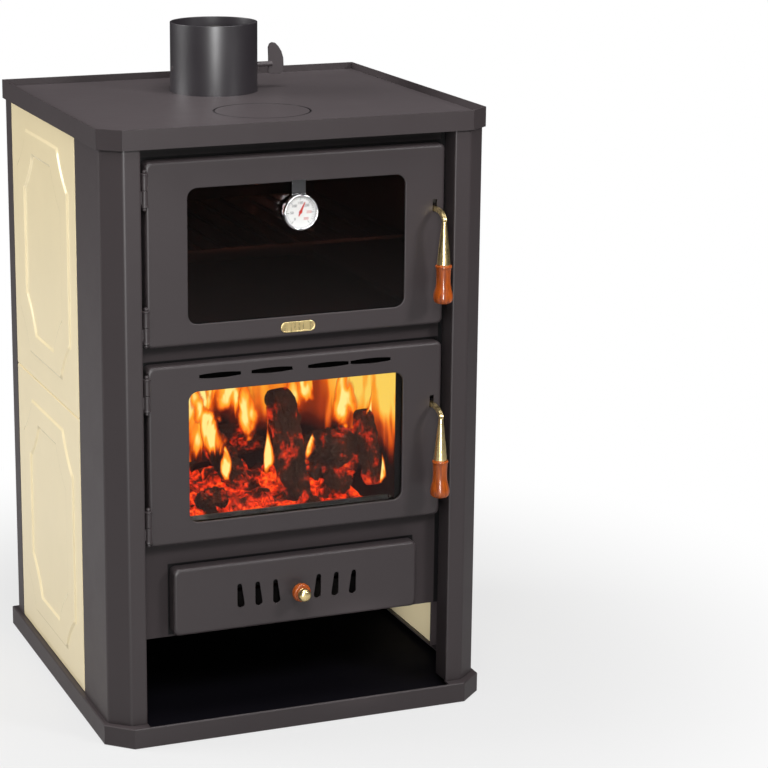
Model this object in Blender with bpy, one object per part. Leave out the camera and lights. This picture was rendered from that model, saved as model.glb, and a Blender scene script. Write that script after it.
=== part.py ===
"""Wood-burning stove with an oven over the fire, a water jacket round it and a wood store below.

Metres, +Z up. X runs to the right, the doors face -Y, and the origin is at the
middle of the base, on the floor. Sheet pieces are made from their folded sections.
"""
import math

import bmesh
import bpy
from mathutils import Vector

MM = 0.001
GAP = 0.3 * MM
ROUND_STEPS = 40

# Top frame, body and base
CAP_WIDTH = 570 * MM
CAP_DEPTH = 525 * MM
CAP_CHAMFER_X = 30 * MM
CAP_CHAMFER_Y = 25 * MM
STOVE_TOP = 874 * MM
CAP_LIP = 28 * MM
CAP_SHEET = 2.5 * MM
CAP_LEDGE = 24 * MM
PLATE_RECESS = 10 * MM
PLATE_THICK = 7 * MM
BODY_INSET = 4 * MM
BASE_PROUD = 3 * MM
BASE_DEEPER = 22 * MM
BASE_WIDTH = CAP_WIDTH + 2 * BASE_PROUD
BASE_DEPTH = CAP_DEPTH + BASE_DEEPER
BASE_CHAMFER_X = 35 * MM
BASE_CHAMFER_Y = 32 * MM
BASE_HEIGHT = 29 * MM
BASE_SHEET = 2.5 * MM
BASE_FLANGE = 20 * MM
BASE_BEVEL = 1.5 * MM
STORE_FLOOR = 19 * MM

# Pillars, rear casing and side panels
SHEET = 2 * MM
OPENING_HALF = 229 * MM
PILLAR_BACK = -117.3 * MM
PILLAR_RETURN = 15 * MM
PANEL_WIDTH = 345 * MM
PANEL_THICK = 8 * MM
PANEL_JOINT = 441 * MM
PANEL_EDGE = 2 * MM
BAND_OUTER_WIDTH = 277 * MM
BAND_OUTER_HEIGHT = 340 * MM
BAND_INNER_WIDTH = 193 * MM
BAND_INNER_HEIGHT = 267 * MM
BAND_RISE = 2.5 * MM
BAND_SLOPE = 5 * MM
BAND_CUT_WIDTH = 50 * MM
BAND_CUT_HEIGHT = 58 * MM
BAND_CUT_HOLLOW = 5 * MM

# Front plate and carcass
FRONT_SETBACK = 33.5 * MM
FRONT_SHEET = 2 * MM
FRONT_BOTTOM = 142 * MM
SHELL_HALF = 226 * MM
SHELL_BACK = 238 * MM
SHELL_SHEET = 3 * MM
FLOOR_SHEET = 3 * MM

# Doors
DOOR_WIDTH = 440 * MM
DOOR_HEIGHT = 258 * MM
DOOR_DEPTH = 20 * MM
DOOR_SHEET = 2.5 * MM
DOOR_EDGE = 5 * MM
DOOR_CORNER = 8 * MM
DOOR_STANDOFF = 1 * MM
OVEN_DOOR_Z = 697.5 * MM
FIRE_DOOR_Z = 413 * MM
WINDOW_WIDTH = 320 * MM
WINDOW_HEIGHT = 189 * MM
WINDOW_CORNER = 14 * MM
WINDOW_DROP = 5 * MM
WINDOW_EDGE = 1.5 * MM
GLASS_THICK = 4 * MM
GLASS_LAP = 10 * MM
LINER_SHEET = 2 * MM
SEAL_WIDTH = 10 * MM
SEAL_CENTRE_X = 189 * MM
SEAL_CENTRE_Z = 109 * MM
SLOT_LENGTH = 62 * MM
SLOT_HEIGHT = 7 * MM
SLOT_SPACING = (-114.5 * MM, -38 * MM, 46 * MM, 110 * MM)
SLOT_RISE = 110.5 * MM

# Hinges
HINGE_AXIS_X = -222 * MM
HINGE_AXIS_PROUD = 4 * MM
HINGE_RISES = (92 * MM, -97 * MM)
HINGE_LENGTH = 57 * MM
HINGE_RADIUS = 4.9 * MM
HINGE_RING = 5.6 * MM
HINGE_PIN = 2.5 * MM
HINGE_LEAF = 2.8 * MM

# Door handles and catches
HANDLE_X = 205 * MM
HANDLE_PROUD = 33 * MM
LEVER_THICK = 5 * MM
LEVER_DEEP = 6 * MM
LEVER_RISE = 37.5 * MM
LEVER_PLAY = 0.7 * MM
LEVER_NOSE = 20.5 * MM
LEVER_DROP = 9.5 * MM
TOOTH_LENGTH = 4 * MM
TOOTH_RISE = 5.4 * MM
EAR_THICK = 2.6 * MM
EAR_HALF_HEIGHT = 5.5 * MM
PIVOT_BEHIND = 9.5 * MM
PIVOT_RADIUS = 3 * MM
CATCH_RISE = 6.8 * MM
CATCH_WIDTH = 14 * MM
CATCH_SHELF = 8 * MM
CATCH_LEAF = 18 * MM
CATCH_SHEET = 2.5 * MM
CONE_DROP = 12.5 * MM
CONE_LENGTH = 61 * MM
CONE_TOP_RADIUS = 3.4 * MM
CONE_RADIUS = 9.4 * MM
GRIP_LENGTH = 55 * MM
GRIP_RADIUS = 15 * MM
ROD_RADIUS = 2 * MM
BORE_PLAY = 0.4 * MM

# Oven, firebox and water jacket
OVEN_HALF = 176 * MM
MOUTH_HALF_HEIGHT = 103 * MM
OVEN_DEPTH = 372 * MM
OVEN_SHEET = 2 * MM
RUNNER_RISE = -7 * MM
RUNNER_WIDE = 8 * MM
RUNNER_TALL = 6 * MM
RACK_THICK = 4 * MM
RACK_BARS = 9
FIRE_HALF = 156 * MM
JACKET_HALF = 190 * MM
JACKET_SPACE = 30 * MM
JACKET_WALL = 4 * MM
JACKET_BACK = 222 * MM
JACKET_TOP = 556 * MM
STUB_RADIUS = 16.6 * MM
STUB_WALL = 3.2 * MM
STUB_REACH = 300 * MM
FLOW_AT = (120 * MM, 515 * MM)
RETURN_AT = (-120 * MM, 205 * MM)
HEARTH_Z = 268 * MM
HEARTH_THICK = 4 * MM
GRATE_WIDTH = 176 * MM
GRATE_LENGTH = 226 * MM
GRATE_THICK = 9 * MM
GRATE_Y = -20 * MM
GRATE_LEDGE = 8 * MM
GRATE_SLOTS = 9
GUARD_HEIGHT = 40 * MM
BAFFLE_THICK = 4 * MM
BAFFLE_BACK = 120 * MM

# Ash drawer
DRAWER_WIDTH = 370 * MM
DRAWER_BOTTOM = 148 * MM
DRAWER_TOP = 247 * MM
PAN_HALF = 156 * MM
PAN_BOTTOM = 150.3 * MM
PAN_TOP = 198 * MM
PAN_LENGTH = 285 * MM
PAN_SHEET = 1.5 * MM
FAN_OFFSETS = (31 * MM, 58 * MM, 85 * MM)
FAN_HEIGHT = 36 * MM
FAN_TOP_WIDTH = 7 * MM
FAN_LOW_WIDTH = 11 * MM
KNOB_REACH = 36 * MM
KNOB_RING_START = 12 * MM
KNOB_RING_END = 22 * MM
KNOB_RING_RADIUS = 13.5 * MM
KNOB_BALL_RADIUS = 9.5 * MM

# Flue, damper and lid
FLUE_Y = 108 * MM
FLUE_RADIUS = 65 * MM
FLUE_WALL = 2.5 * MM
FLUE_TOP = 967 * MM
FLUE_BOTTOM = 845 * MM
FLUE_COLLAR = 80 * MM
DAMPER_Z = 900 * MM
DAMPER_ROD = 4 * MM
DAMPER_LEAF_X = 86 * MM
DAMPER_LEAF_HEIGHT = 47.5 * MM
DAMPER_LEAF_THICK = 3 * MM
FLAP_RADIUS = 61 * MM
FLAP_THICK = 2 * MM
SLEEVE_RADIUS = 6.5 * MM
LID_Y = -102 * MM
LID_RADIUS = 69 * MM
LID_STEP = 7 * MM
LID_THICK = 4 * MM

# Thermometer and brass plate on the oven door
DIAL_RADIUS = 25 * MM
DIAL_Z = 746 * MM
DIAL_DEPTH = 12 * MM
CLIP_WIDTH = 20 * MM
NEEDLE_LENGTH = 15 * MM
NEEDLE_LEAN = 25
BRASS_PLATE_WIDTH = 51 * MM
BRASS_PLATE_HEIGHT = 15 * MM
BRASS_PLATE_Z = 583 * MM

# Places worked out from the sizes above
BODY_FRONT = -CAP_DEPTH / 2 + BODY_INSET
BODY_SIDE = CAP_WIDTH / 2 - BODY_INSET
FRONT_Y = BODY_FRONT + FRONT_SETBACK
FRONT_BACK = FRONT_Y + FRONT_SHEET
DOOR_BACK = FRONT_Y - DOOR_STANDOFF
DOOR_FRONT = DOOR_BACK - DOOR_DEPTH
PANE_FRONT = DOOR_FRONT + DOOR_SHEET + GAP
PANE_BACK = PANE_FRONT + GLASS_THICK
LINER_BACK = DOOR_BACK - 4 * MM
LINER_FRONT = LINER_BACK - LINER_SHEET
PLATE_TOP = STOVE_TOP - PLATE_RECESS
PLATE_BOTTOM = PLATE_TOP - PLATE_THICK
LEDGE_TOP = PLATE_BOTTOM - GAP
LEDGE_BOTTOM = LEDGE_TOP - CAP_SHEET
BODY_TOP = LEDGE_BOTTOM - GAP
BODY_BOTTOM = BASE_HEIGHT + GAP
PANEL_FRONT = PILLAR_BACK + GAP
PANEL_BACK = PANEL_FRONT + PANEL_WIDTH
SHELL_FRONT = FRONT_BACK + GAP
FLOOR_TOP = FRONT_BOTTOM + FLOOR_SHEET
HINGE_Y = DOOR_FRONT - HINGE_AXIS_PROUD
HINGE_SPLIT = HINGE_LENGTH / 2
PIVOT_Y = DOOR_FRONT + PIVOT_BEHIND
HANDLE_Y = DOOR_FRONT - HANDLE_PROUD
DRAWER_Z = (DRAWER_BOTTOM + DRAWER_TOP) / 2
CASE_BACK = DOOR_FRONT - 1.3 * MM
CASE_FRONT = CASE_BACK - DIAL_DEPTH

FINISHES = {
    "body_paint": ((0.075, 0.070, 0.072), 0.45, 0.35),
    "top_paint": ((0.085, 0.080, 0.084), 0.40, 0.35),
    "panel_enamel": ((0.83, 0.76, 0.53), 0.25, 0.0),
    "raw_steel": ((0.25, 0.25, 0.26), 0.45, 1.0),
    "cast_iron": ((0.06, 0.06, 0.06), 0.75, 0.6),
    "oven_enamel": ((0.03, 0.03, 0.035), 0.35, 0.0),
    "dark_glass": ((0.02, 0.015, 0.015), 0.05, 0.0),
    "fire_glass": ((0.90, 0.90, 0.88), 0.05, 0.0),
    "seal_rope": ((0.25, 0.24, 0.22), 0.9, 0.0),
    "brass": ((0.80, 0.62, 0.25), 0.2, 1.0),
    "lacquered_wood": ((0.55, 0.14, 0.04), 0.25, 0.0),
    "chrome": ((0.80, 0.80, 0.80), 0.12, 1.0),
    "dial_white": ((0.90, 0.90, 0.88), 0.4, 0.0),
    "needle_red": ((0.60, 0.05, 0.03), 0.4, 0.0),
}


def clear_scene():
    for old in list(bpy.data.objects):
        bpy.data.objects.remove(old, do_unlink=True)


def finish_named(name):
    """The Principled material of that name, made the first time it is asked for."""
    if name in bpy.data.materials:
        return bpy.data.materials[name]
    colour, roughness, metallic = FINISHES[name]
    made = bpy.data.materials.new(name)
    made.use_nodes = True
    shader = made.node_tree.nodes["Principled BSDF"]
    shader.inputs["Base Color"].default_value = (*colour, 1.0)
    shader.inputs["Roughness"].default_value = roughness
    shader.inputs["Metallic"].default_value = metallic
    made.diffuse_color = (*colour, 1.0)
    return made


def make_object(name, mesh_builder, finish, origin=(0, 0, 0), sharp=20):
    """A named object whose origin is at the given point, from a bmesh in world places."""
    bmesh.ops.recalc_face_normals(mesh_builder, faces=mesh_builder.faces)
    bmesh.ops.translate(mesh_builder, verts=mesh_builder.verts, vec=-Vector(origin))
    mesh = bpy.data.meshes.new(name)
    mesh_builder.to_mesh(mesh)
    mesh_builder.free()
    mesh.shade_smooth()
    mesh.set_sharp_from_angle(angle=math.radians(sharp))
    made = bpy.data.objects.new(name, mesh)
    made.location = origin
    if finish:
        mesh.materials.append(finish_named(finish))
    bpy.context.scene.collection.objects.link(made)
    return made


def as_guide(guide):
    guide.hide_render = True
    guide.display_type = "WIRE"
    return guide


def combine(target, guide, operation):
    """Cut the guide from the target, or join it on."""
    as_guide(guide)
    step = target.modifiers.new(operation.title(), "BOOLEAN")
    step.operation = operation
    step.solver = "EXACT"
    step.object = guide
    return target


def place(point, plane, level):
    """A 2D point in a front, side or top view, set at its level along the third axis."""
    across, up = point
    if plane == "front":
        return Vector((across, level, up))
    if plane == "side":
        return Vector((level, across, up))
    return Vector((across, up, level))


def rectangle(low, high):
    return [(low[0], low[1]), (high[0], low[1]), (high[0], high[1]), (low[0], high[1])]


def rounded(half_width, half_height, radius, centre=(0, 0), steps=3):
    """A rectangle with round corners, counter-clockwise."""
    points = []
    corners = [(1, 1, 0), (-1, 1, 90), (-1, -1, 180), (1, -1, 270)]
    for side, rise, start in corners:
        for step in range(steps + 1):
            angle = math.radians(start + 90 * step / steps)
            across = side * (half_width - radius) + radius * math.cos(angle)
            up = rise * (half_height - radius) + radius * math.sin(angle)
            points.append((centre[0] + across, centre[1] + up))
    return points


def chamfered(width, depth, cut_x, cut_y):
    """Plan of the stove: a rectangle whose two front corners are cut off."""
    side = width / 2
    end = depth / 2
    return [(-side + cut_x, -end), (side - cut_x, -end), (side, -end + cut_y),
            (side, end), (-side, end), (-side, -end + cut_y)]


def inset(outline, distance):
    """A closed counter-clockwise outline moved inwards."""
    moved = []
    count = len(outline)
    for index, point in enumerate(outline):
        before = Vector(point) - Vector(outline[index - 1])
        after = Vector(outline[(index + 1) % count]) - Vector(point)
        first = Vector((-before.y, before.x)).normalized()
        second = Vector((-after.y, after.x)).normalized()
        shift = (first + second) / (1 + first.dot(second)) * distance
        moved.append((point[0] + shift.x, point[1] + shift.y))
    return moved


def moved_right(path, distance):
    """An open path moved sideways, to the right of its travel."""
    moved = []
    for index, point in enumerate(path):
        normals = []
        if index > 0:
            run = Vector(point) - Vector(path[index - 1])
            normals.append(Vector((run.y, -run.x)).normalized())
        if index < len(path) - 1:
            run = Vector(path[index + 1]) - Vector(point)
            normals.append(Vector((run.y, -run.x)).normalized())
        first = normals[0]
        second = normals[-1]
        shift = (first + second) / (1 + first.dot(second)) * distance
        moved.append((point[0] + shift.x, point[1] + shift.y))
    return moved


def folded(path, thickness):
    """The section of a bent sheet: its path, and the path moved sideways to its right."""
    return list(path) + moved_right(path, thickness)[::-1]


def mirrored(outline):
    return [(-across, up) for across, up in reversed(outline)]


def slab(name, outline, plane, low, high, finish, holes=(), origin=(0, 0, 0)):
    """A flat outline with holes, given its thickness from one level to another."""
    builder = bmesh.new()
    edges = []
    for loop in [outline, *holes]:
        verts = [builder.verts.new(place(point, plane, low)) for point in loop]
        for index, vert in enumerate(verts):
            edges.append(builder.edges.new((verts[index - 1], vert)))
    bmesh.ops.triangle_fill(builder, edges=edges, use_beauty=True)
    grown = bmesh.ops.extrude_face_region(builder, geom=list(builder.faces))
    moved = [item for item in grown["geom"] if isinstance(item, bmesh.types.BMVert)]
    bmesh.ops.translate(builder, verts=moved, vec=place((0, 0), plane, high - low))
    return make_object(name, builder, finish, origin)


def skin(name, loops, finish, closed=False, origin=(0, 0, 0)):
    """Faces between loops of equal length, closed into a ring or capped at both ends."""
    builder = bmesh.new()
    rings = [[builder.verts.new(point) for point in loop] for loop in loops]
    count = len(rings[0])
    pairs = list(zip(rings, rings[1:]))
    if closed:
        pairs.append((rings[-1], rings[0]))
    for lower, upper in pairs:
        for index in range(count):
            after = (index + 1) % count
            builder.faces.new((lower[index], lower[after], upper[after], upper[index]))
    if not closed:
        caps = [builder.faces.new(rings[0][::-1]), builder.faces.new(rings[-1])]
        bmesh.ops.triangulate(builder, faces=caps)
    return make_object(name, builder, finish, origin)


def turned(name, profile, centre, axis, finish, steps=20, closed=False, origin=(0, 0, 0)):
    """A turned piece: (radius, height) points spun about an axis through the centre."""
    builder = bmesh.new()
    turn = Vector((0, 0, 1)).rotation_difference(Vector(axis)).to_matrix()
    rings = []
    for radius, height in profile:
        if radius == 0:
            rings.append([builder.verts.new(turn @ Vector((0, 0, height)) + Vector(centre))])
            continue
        ring = []
        for step in range(steps):
            angle = math.tau * step / steps
            spot = Vector((radius * math.cos(angle), radius * math.sin(angle), height))
            ring.append(builder.verts.new(turn @ spot + Vector(centre)))
        rings.append(ring)
    pairs = list(zip(rings, rings[1:]))
    if closed:
        pairs.append((rings[-1], rings[0]))
    for lower, upper in pairs:
        for step in range(steps):
            after = (step + 1) % steps
            corners = [lower[step % len(lower)], lower[after % len(lower)],
                       upper[after % len(upper)], upper[step % len(upper)]]
            builder.faces.new(list(dict.fromkeys(corners)))
    if not closed:
        for ring in (rings[0], rings[-1]):
            if len(ring) > 1:
                builder.faces.new(ring)
    return make_object(name, builder, finish, origin, sharp=35)


def block(name, low, high, finish=None):
    return slab(name, rectangle((low[0], low[1]), (high[0], high[1])), "top", low[2], high[2], finish)


def box_cutter(target, name, low, high):
    return combine(target, block(name, low, high), "DIFFERENCE")


def round_cutter(target, name, radius, start, end, steps=20):
    """A round hole from one point to another."""
    run = Vector(end) - Vector(start)
    tool = turned(name, [(radius, 0), (radius, run.length)], start, run.normalized(), None, steps)
    return combine(target, tool, "DIFFERENCE")


def make_base():
    """Folded tray that stands on the floor, and the sunk floor of the wood store in it."""
    plan = chamfered(BASE_WIDTH, BASE_DEPTH, BASE_CHAMFER_X, BASE_CHAMFER_Y)
    section = [(0, 0), (0, BASE_HEIGHT - BASE_BEVEL), (BASE_BEVEL, BASE_HEIGHT),
               (BASE_FLANGE, BASE_HEIGHT), (BASE_FLANGE, BASE_HEIGHT - BASE_SHEET),
               (BASE_SHEET, BASE_HEIGHT - BASE_SHEET), (BASE_SHEET, BASE_SHEET)]
    loops = [[place(p, "top", up) for p in inset(plan, inwards)] for inwards, up in section]
    tray = skin("base_tray", loops, "body_paint")
    front = -BASE_DEPTH / 2
    box_cutter(tray, "cut_base_flange", (-OPENING_HALF, front + BASE_SHEET, BASE_HEIGHT - 2 * BASE_SHEET),
               (OPENING_HALF, front + 2 * BASE_FLANGE, BASE_HEIGHT + BASE_SHEET))
    rest = BASE_SHEET + GAP
    floor_section = [(SHEET, STORE_FLOOR - SHEET), (SHEET, rest), (0, rest), (0, STORE_FLOOR)]
    inner = inset(plan, BASE_SHEET + GAP)
    loops = [[place(p, "top", up) for p in inset(inner, inwards)] for inwards, up in floor_section]
    skin("store_floor", loops, "body_paint")


def make_pillars():
    """Front pillars: an inner return, a front face, a chamfer, a side face and a rear return."""
    body = inset(chamfered(CAP_WIDTH, CAP_DEPTH, CAP_CHAMFER_X, CAP_CHAMFER_Y), BODY_INSET)
    front_corner = body[0]
    side_corner = body[5]
    path = [(-OPENING_HALF, FRONT_BACK), (-OPENING_HALF, BODY_FRONT), front_corner, side_corner,
            (-BODY_SIDE, PILLAR_BACK), (-BODY_SIDE + PILLAR_RETURN, PILLAR_BACK)]
    left = folded(path, SHEET)
    slab("front_left_pillar", left, "top", BODY_BOTTOM, BODY_TOP, "body_paint")
    slab("front_right_pillar", mirrored(left), "top", BODY_BOTTOM, BODY_TOP, "body_paint")


def make_rear_casing():
    """Rear casing, folded round to a narrow strip on each side, with holes for the water stubs."""
    rear = CAP_DEPTH / 2 - BODY_INSET
    strip = PANEL_BACK + GAP
    path = [(-BODY_SIDE + PILLAR_RETURN, strip), (-BODY_SIDE, strip), (-BODY_SIDE, rear),
            (BODY_SIDE, rear), (BODY_SIDE, strip), (BODY_SIDE - PILLAR_RETURN, strip)]
    casing = slab("rear_casing", folded(path, SHEET), "top", BODY_BOTTOM, BODY_TOP, "body_paint")
    stub_holes(casing, "casing", rear)


def stub_holes(target, label, level):
    for side, (across, up) in {"flow": FLOW_AT, "return": RETURN_AT}.items():
        round_cutter(target, f"cut_{label}_{side}", STUB_RADIUS + 2 * GAP,
                     (across, level - 20 * MM, up), (across, level + 20 * MM, up))


def band_outline(width, height, steps=3):
    """Eight-sided outline whose cut corners are slightly hollow."""
    points = []
    for side, rise in ((1, 1), (-1, 1), (-1, -1), (1, -1)):
        start = Vector((side * width / 2, rise * (height / 2 - BAND_CUT_HEIGHT)))
        end = Vector((side * (width / 2 - BAND_CUT_WIDTH), rise * height / 2))
        if side * rise < 0:
            start, end = end, start
        hollow = Vector((-side * BAND_CUT_HEIGHT, -rise * BAND_CUT_WIDTH)).normalized() * BAND_CUT_HOLLOW
        for step in range(steps + 1):
            share = step / steps
            spot = start.lerp(end, share) + hollow * 4 * share * (1 - share)
            points.append((spot.x, spot.y))
    return points


def make_side_panel(name, side, bottom, top):
    """Enamelled panel with a raised eight-sided moulding, standing between pillar and casing."""
    half_height = (top - bottom) / 2
    centre = ((PANEL_FRONT + PANEL_BACK) / 2, (bottom + top) / 2)
    half_width = PANEL_WIDTH / 2

    def level(proud):
        return side * (BODY_SIDE - PANEL_THICK + proud)

    def loop(outline, proud):
        return [place((centre[0] + p[0], centre[1] + p[1]), "side", level(proud)) for p in outline]

    slope = 2 * BAND_SLOPE
    full = PANEL_THICK
    high = PANEL_THICK + BAND_RISE
    loops = [
        loop(rounded(half_width, half_height, PANEL_EDGE), 0),
        loop(rounded(half_width, half_height, PANEL_EDGE), full - PANEL_EDGE),
        loop(rounded(half_width - 0.3 * PANEL_EDGE, half_height - 0.3 * PANEL_EDGE, PANEL_EDGE),
             full - 0.3 * PANEL_EDGE),
        loop(rounded(half_width - PANEL_EDGE, half_height - PANEL_EDGE, PANEL_EDGE), full),
        loop(band_outline(BAND_OUTER_WIDTH, BAND_OUTER_HEIGHT), full),
        loop(band_outline(BAND_OUTER_WIDTH - slope, BAND_OUTER_HEIGHT - slope), high),
        loop(band_outline(BAND_INNER_WIDTH + slope, BAND_INNER_HEIGHT + slope), high),
        loop(band_outline(BAND_INNER_WIDTH, BAND_INNER_HEIGHT), full),
    ]
    return skin(name, loops, "panel_enamel")


def make_side_panels():
    for side, word in ((-1, "left"), (1, "right")):
        make_side_panel(f"{word}_lower_panel", side, BODY_BOTTOM, PANEL_JOINT - GAP / 2)
        make_side_panel(f"{word}_upper_panel", side, PANEL_JOINT + GAP / 2, BODY_TOP)


def make_top():
    """Upright rim with its ledge, the cooking plate on the ledge, and the lid in the plate."""
    plan = chamfered(CAP_WIDTH, CAP_DEPTH, CAP_CHAMFER_X, CAP_CHAMFER_Y)
    lip = STOVE_TOP - CAP_LIP
    section = [(0, lip), (0, STOVE_TOP), (CAP_SHEET, STOVE_TOP), (CAP_SHEET, LEDGE_TOP),
               (CAP_LEDGE, LEDGE_TOP), (CAP_LEDGE, LEDGE_BOTTOM), (CAP_SHEET, LEDGE_BOTTOM),
               (CAP_SHEET, lip)]
    loops = [[place(p, "top", up) for p in inset(plan, inwards)] for inwards, up in section]
    skin("top_frame", loops, "top_paint", closed=True)
    plate_plan = inset(plan, CAP_SHEET + GAP)
    plate = slab("cooking_plate", plate_plan, "top", PLATE_BOTTOM, PLATE_TOP, "top_paint")
    seat = PLATE_TOP - LID_THICK
    round_cutter(plate, "cut_lid", LID_RADIUS, (0, LID_Y, seat), (0, LID_Y, STOVE_TOP), ROUND_STEPS)
    round_cutter(plate, "cut_lid_step", LID_RADIUS - LID_STEP, (0, LID_Y, PLATE_BOTTOM - PLATE_THICK),
                 (0, LID_Y, STOVE_TOP), ROUND_STEPS)
    round_cutter(plate, "cut_flue", FLUE_RADIUS + GAP, (0, FLUE_Y, PLATE_BOTTOM - PLATE_THICK),
                 (0, FLUE_Y, STOVE_TOP), ROUND_STEPS)
    low = seat + GAP
    edge = LID_RADIUS - GAP
    lip_step = 0.6 * MM
    profile = [(0, low), (edge, low), (edge, PLATE_TOP - lip_step), (edge - lip_step, PLATE_TOP),
               (0, PLATE_TOP)]
    turned("hob_lid", profile, (0, LID_Y, 0), (0, 0, 1), "top_paint", ROUND_STEPS,
           origin=(0, LID_Y, PLATE_TOP))


def make_flue():
    """Flue spigot with its collar under the plate, the damper spindle and its flap."""
    bore = FLUE_RADIUS - FLUE_WALL
    collar = LEDGE_TOP - FLUE_WALL
    profile = [(FLUE_RADIUS, FLUE_TOP), (FLUE_RADIUS, LEDGE_TOP), (FLUE_COLLAR, LEDGE_TOP),
               (FLUE_COLLAR, collar), (FLUE_RADIUS, collar), (FLUE_RADIUS, FLUE_BOTTOM),
               (bore, FLUE_BOTTOM), (bore, FLUE_TOP)]
    flue = turned("flue_spigot", profile, (0, FLUE_Y, 0), (0, 0, 1), "top_paint", ROUND_STEPS,
                  closed=True)
    reach = FLUE_RADIUS + FLUE_COLLAR
    round_cutter(flue, "cut_flue_rod", DAMPER_ROD + GAP, (-reach, FLUE_Y, DAMPER_Z),
                 (reach, FLUE_Y, DAMPER_Z), 16)
    axis = (0, FLUE_Y, DAMPER_Z)
    start = -FLUE_RADIUS - GAP
    tall = DAMPER_LEAF_HEIGHT
    end = DAMPER_LEAF_X + 0.13 * tall
    rod = turned("damper_spindle", [(DAMPER_ROD, start), (DAMPER_ROD, end)], axis, (1, 0, 0),
                 "top_paint", 16, origin=axis)
    shape = [(0, -0.295), (0.084, -0.326), (0.4, -0.326), (0.484, -0.274), (0.516, -0.084),
             (0.505, 0.168), (0.442, 0.379), (0.337, 0.547), (0.232, 0.653), (0.126, 0.674),
             (0.042, 0.632), (0, 0.526), (0.011, 0.168), (0.011, -0.126)]
    outline = [(DAMPER_LEAF_X + across * tall, DAMPER_Z + up * tall) for across, up in shape]
    half = DAMPER_LEAF_THICK / 2
    leaf = slab("join_damper_leaf", outline, "front", FLUE_Y - half, FLUE_Y + half, None)
    combine(rod, leaf, "UNION")
    flap = turned("damper_flap", [(FLAP_RADIUS, -FLAP_THICK / 2), (FLAP_RADIUS, FLAP_THICK / 2)], axis,
                  (0, 1, 0), "raw_steel", ROUND_STEPS, origin=axis)
    sleeve_end = 0.8 * FLAP_RADIUS
    sleeve = turned("join_damper_sleeve", [(SLEEVE_RADIUS, -sleeve_end), (SLEEVE_RADIUS, sleeve_end)],
                    axis, (1, 0, 0), None, 16)
    combine(flap, sleeve, "UNION")
    round_cutter(flap, "cut_damper_sleeve", DAMPER_ROD + GAP, (-FLUE_RADIUS, FLUE_Y, DAMPER_Z),
                 (FLUE_RADIUS, FLUE_Y, DAMPER_Z), 16)


def mouth(half_width, centre_z):
    return rounded(half_width, MOUTH_HALF_HEIGHT, DOOR_CORNER, (0, centre_z))


def lever_slot(centre_z):
    """Narrow upright hole that a door lever's nose enters."""
    pivot = centre_z + LEVER_RISE
    return rectangle((HANDLE_X - 5.5 * MM, pivot - 17 * MM), (HANDLE_X + 7 * MM, pivot + 6.5 * MM))


def make_front_plate():
    """Front plate between the pillars, with both mouths, the drawer opening and the lever slots."""
    half = OPENING_HALF - GAP
    outline = rectangle((-half, FRONT_BOTTOM), (half, BODY_TOP))
    drawer_hole = rectangle((-PAN_HALF - 4 * MM, PAN_BOTTOM - GAP), (PAN_HALF + 4 * MM, PAN_TOP + 4 * MM))
    holes = [mouth(OVEN_HALF, OVEN_DOOR_Z), mouth(FIRE_HALF, FIRE_DOOR_Z), drawer_hole,
             lever_slot(OVEN_DOOR_Z), lever_slot(FIRE_DOOR_Z)]
    slab("front_plate", outline, "front", FRONT_Y, FRONT_BACK, "body_paint", holes)


def make_carcass():
    """Inner shell that carries the plate, and the floor that roofs the wood store."""
    path = [(SHELL_HALF, SHELL_FRONT), (SHELL_HALF, SHELL_BACK), (-SHELL_HALF, SHELL_BACK),
            (-SHELL_HALF, SHELL_FRONT)]
    section = folded(path[::-1], SHELL_SHEET)
    shell = slab("carcass_shell", section, "top", FLOOR_TOP + GAP, LEDGE_TOP, "raw_steel")
    stub_holes(shell, "shell", SHELL_BACK)
    front_half = SHELL_HALF
    rear_half = BODY_SIDE - PANEL_THICK - 2 * GAP
    step = PILLAR_BACK + 2 * GAP
    tail = BODY_SIDE - PILLAR_RETURN - 2 * GAP
    rear = CAP_DEPTH / 2 - BODY_INSET - SHEET - GAP
    strip = PANEL_BACK - GAP
    right = [(front_half, SHELL_FRONT), (front_half, step), (rear_half, step), (rear_half, strip),
             (tail, strip), (tail, rear)]
    outline = right + [(-across, up) for across, up in reversed(right)]
    floor = slab("carcass_floor", outline, "top", FRONT_BOTTOM, FLOOR_TOP, "body_paint")
    rail_half = 5 * MM
    for side in (-1, 1):
        middle = side * (PAN_HALF - 3 * rail_half)
        rail = block(f"join_rail_{side + 1}", (middle - rail_half, SHELL_FRONT, FLOOR_TOP - MM),
                     (middle + rail_half, SHELL_FRONT + PAN_LENGTH, PAN_BOTTOM - GAP))
        combine(floor, rail, "UNION")


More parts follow.
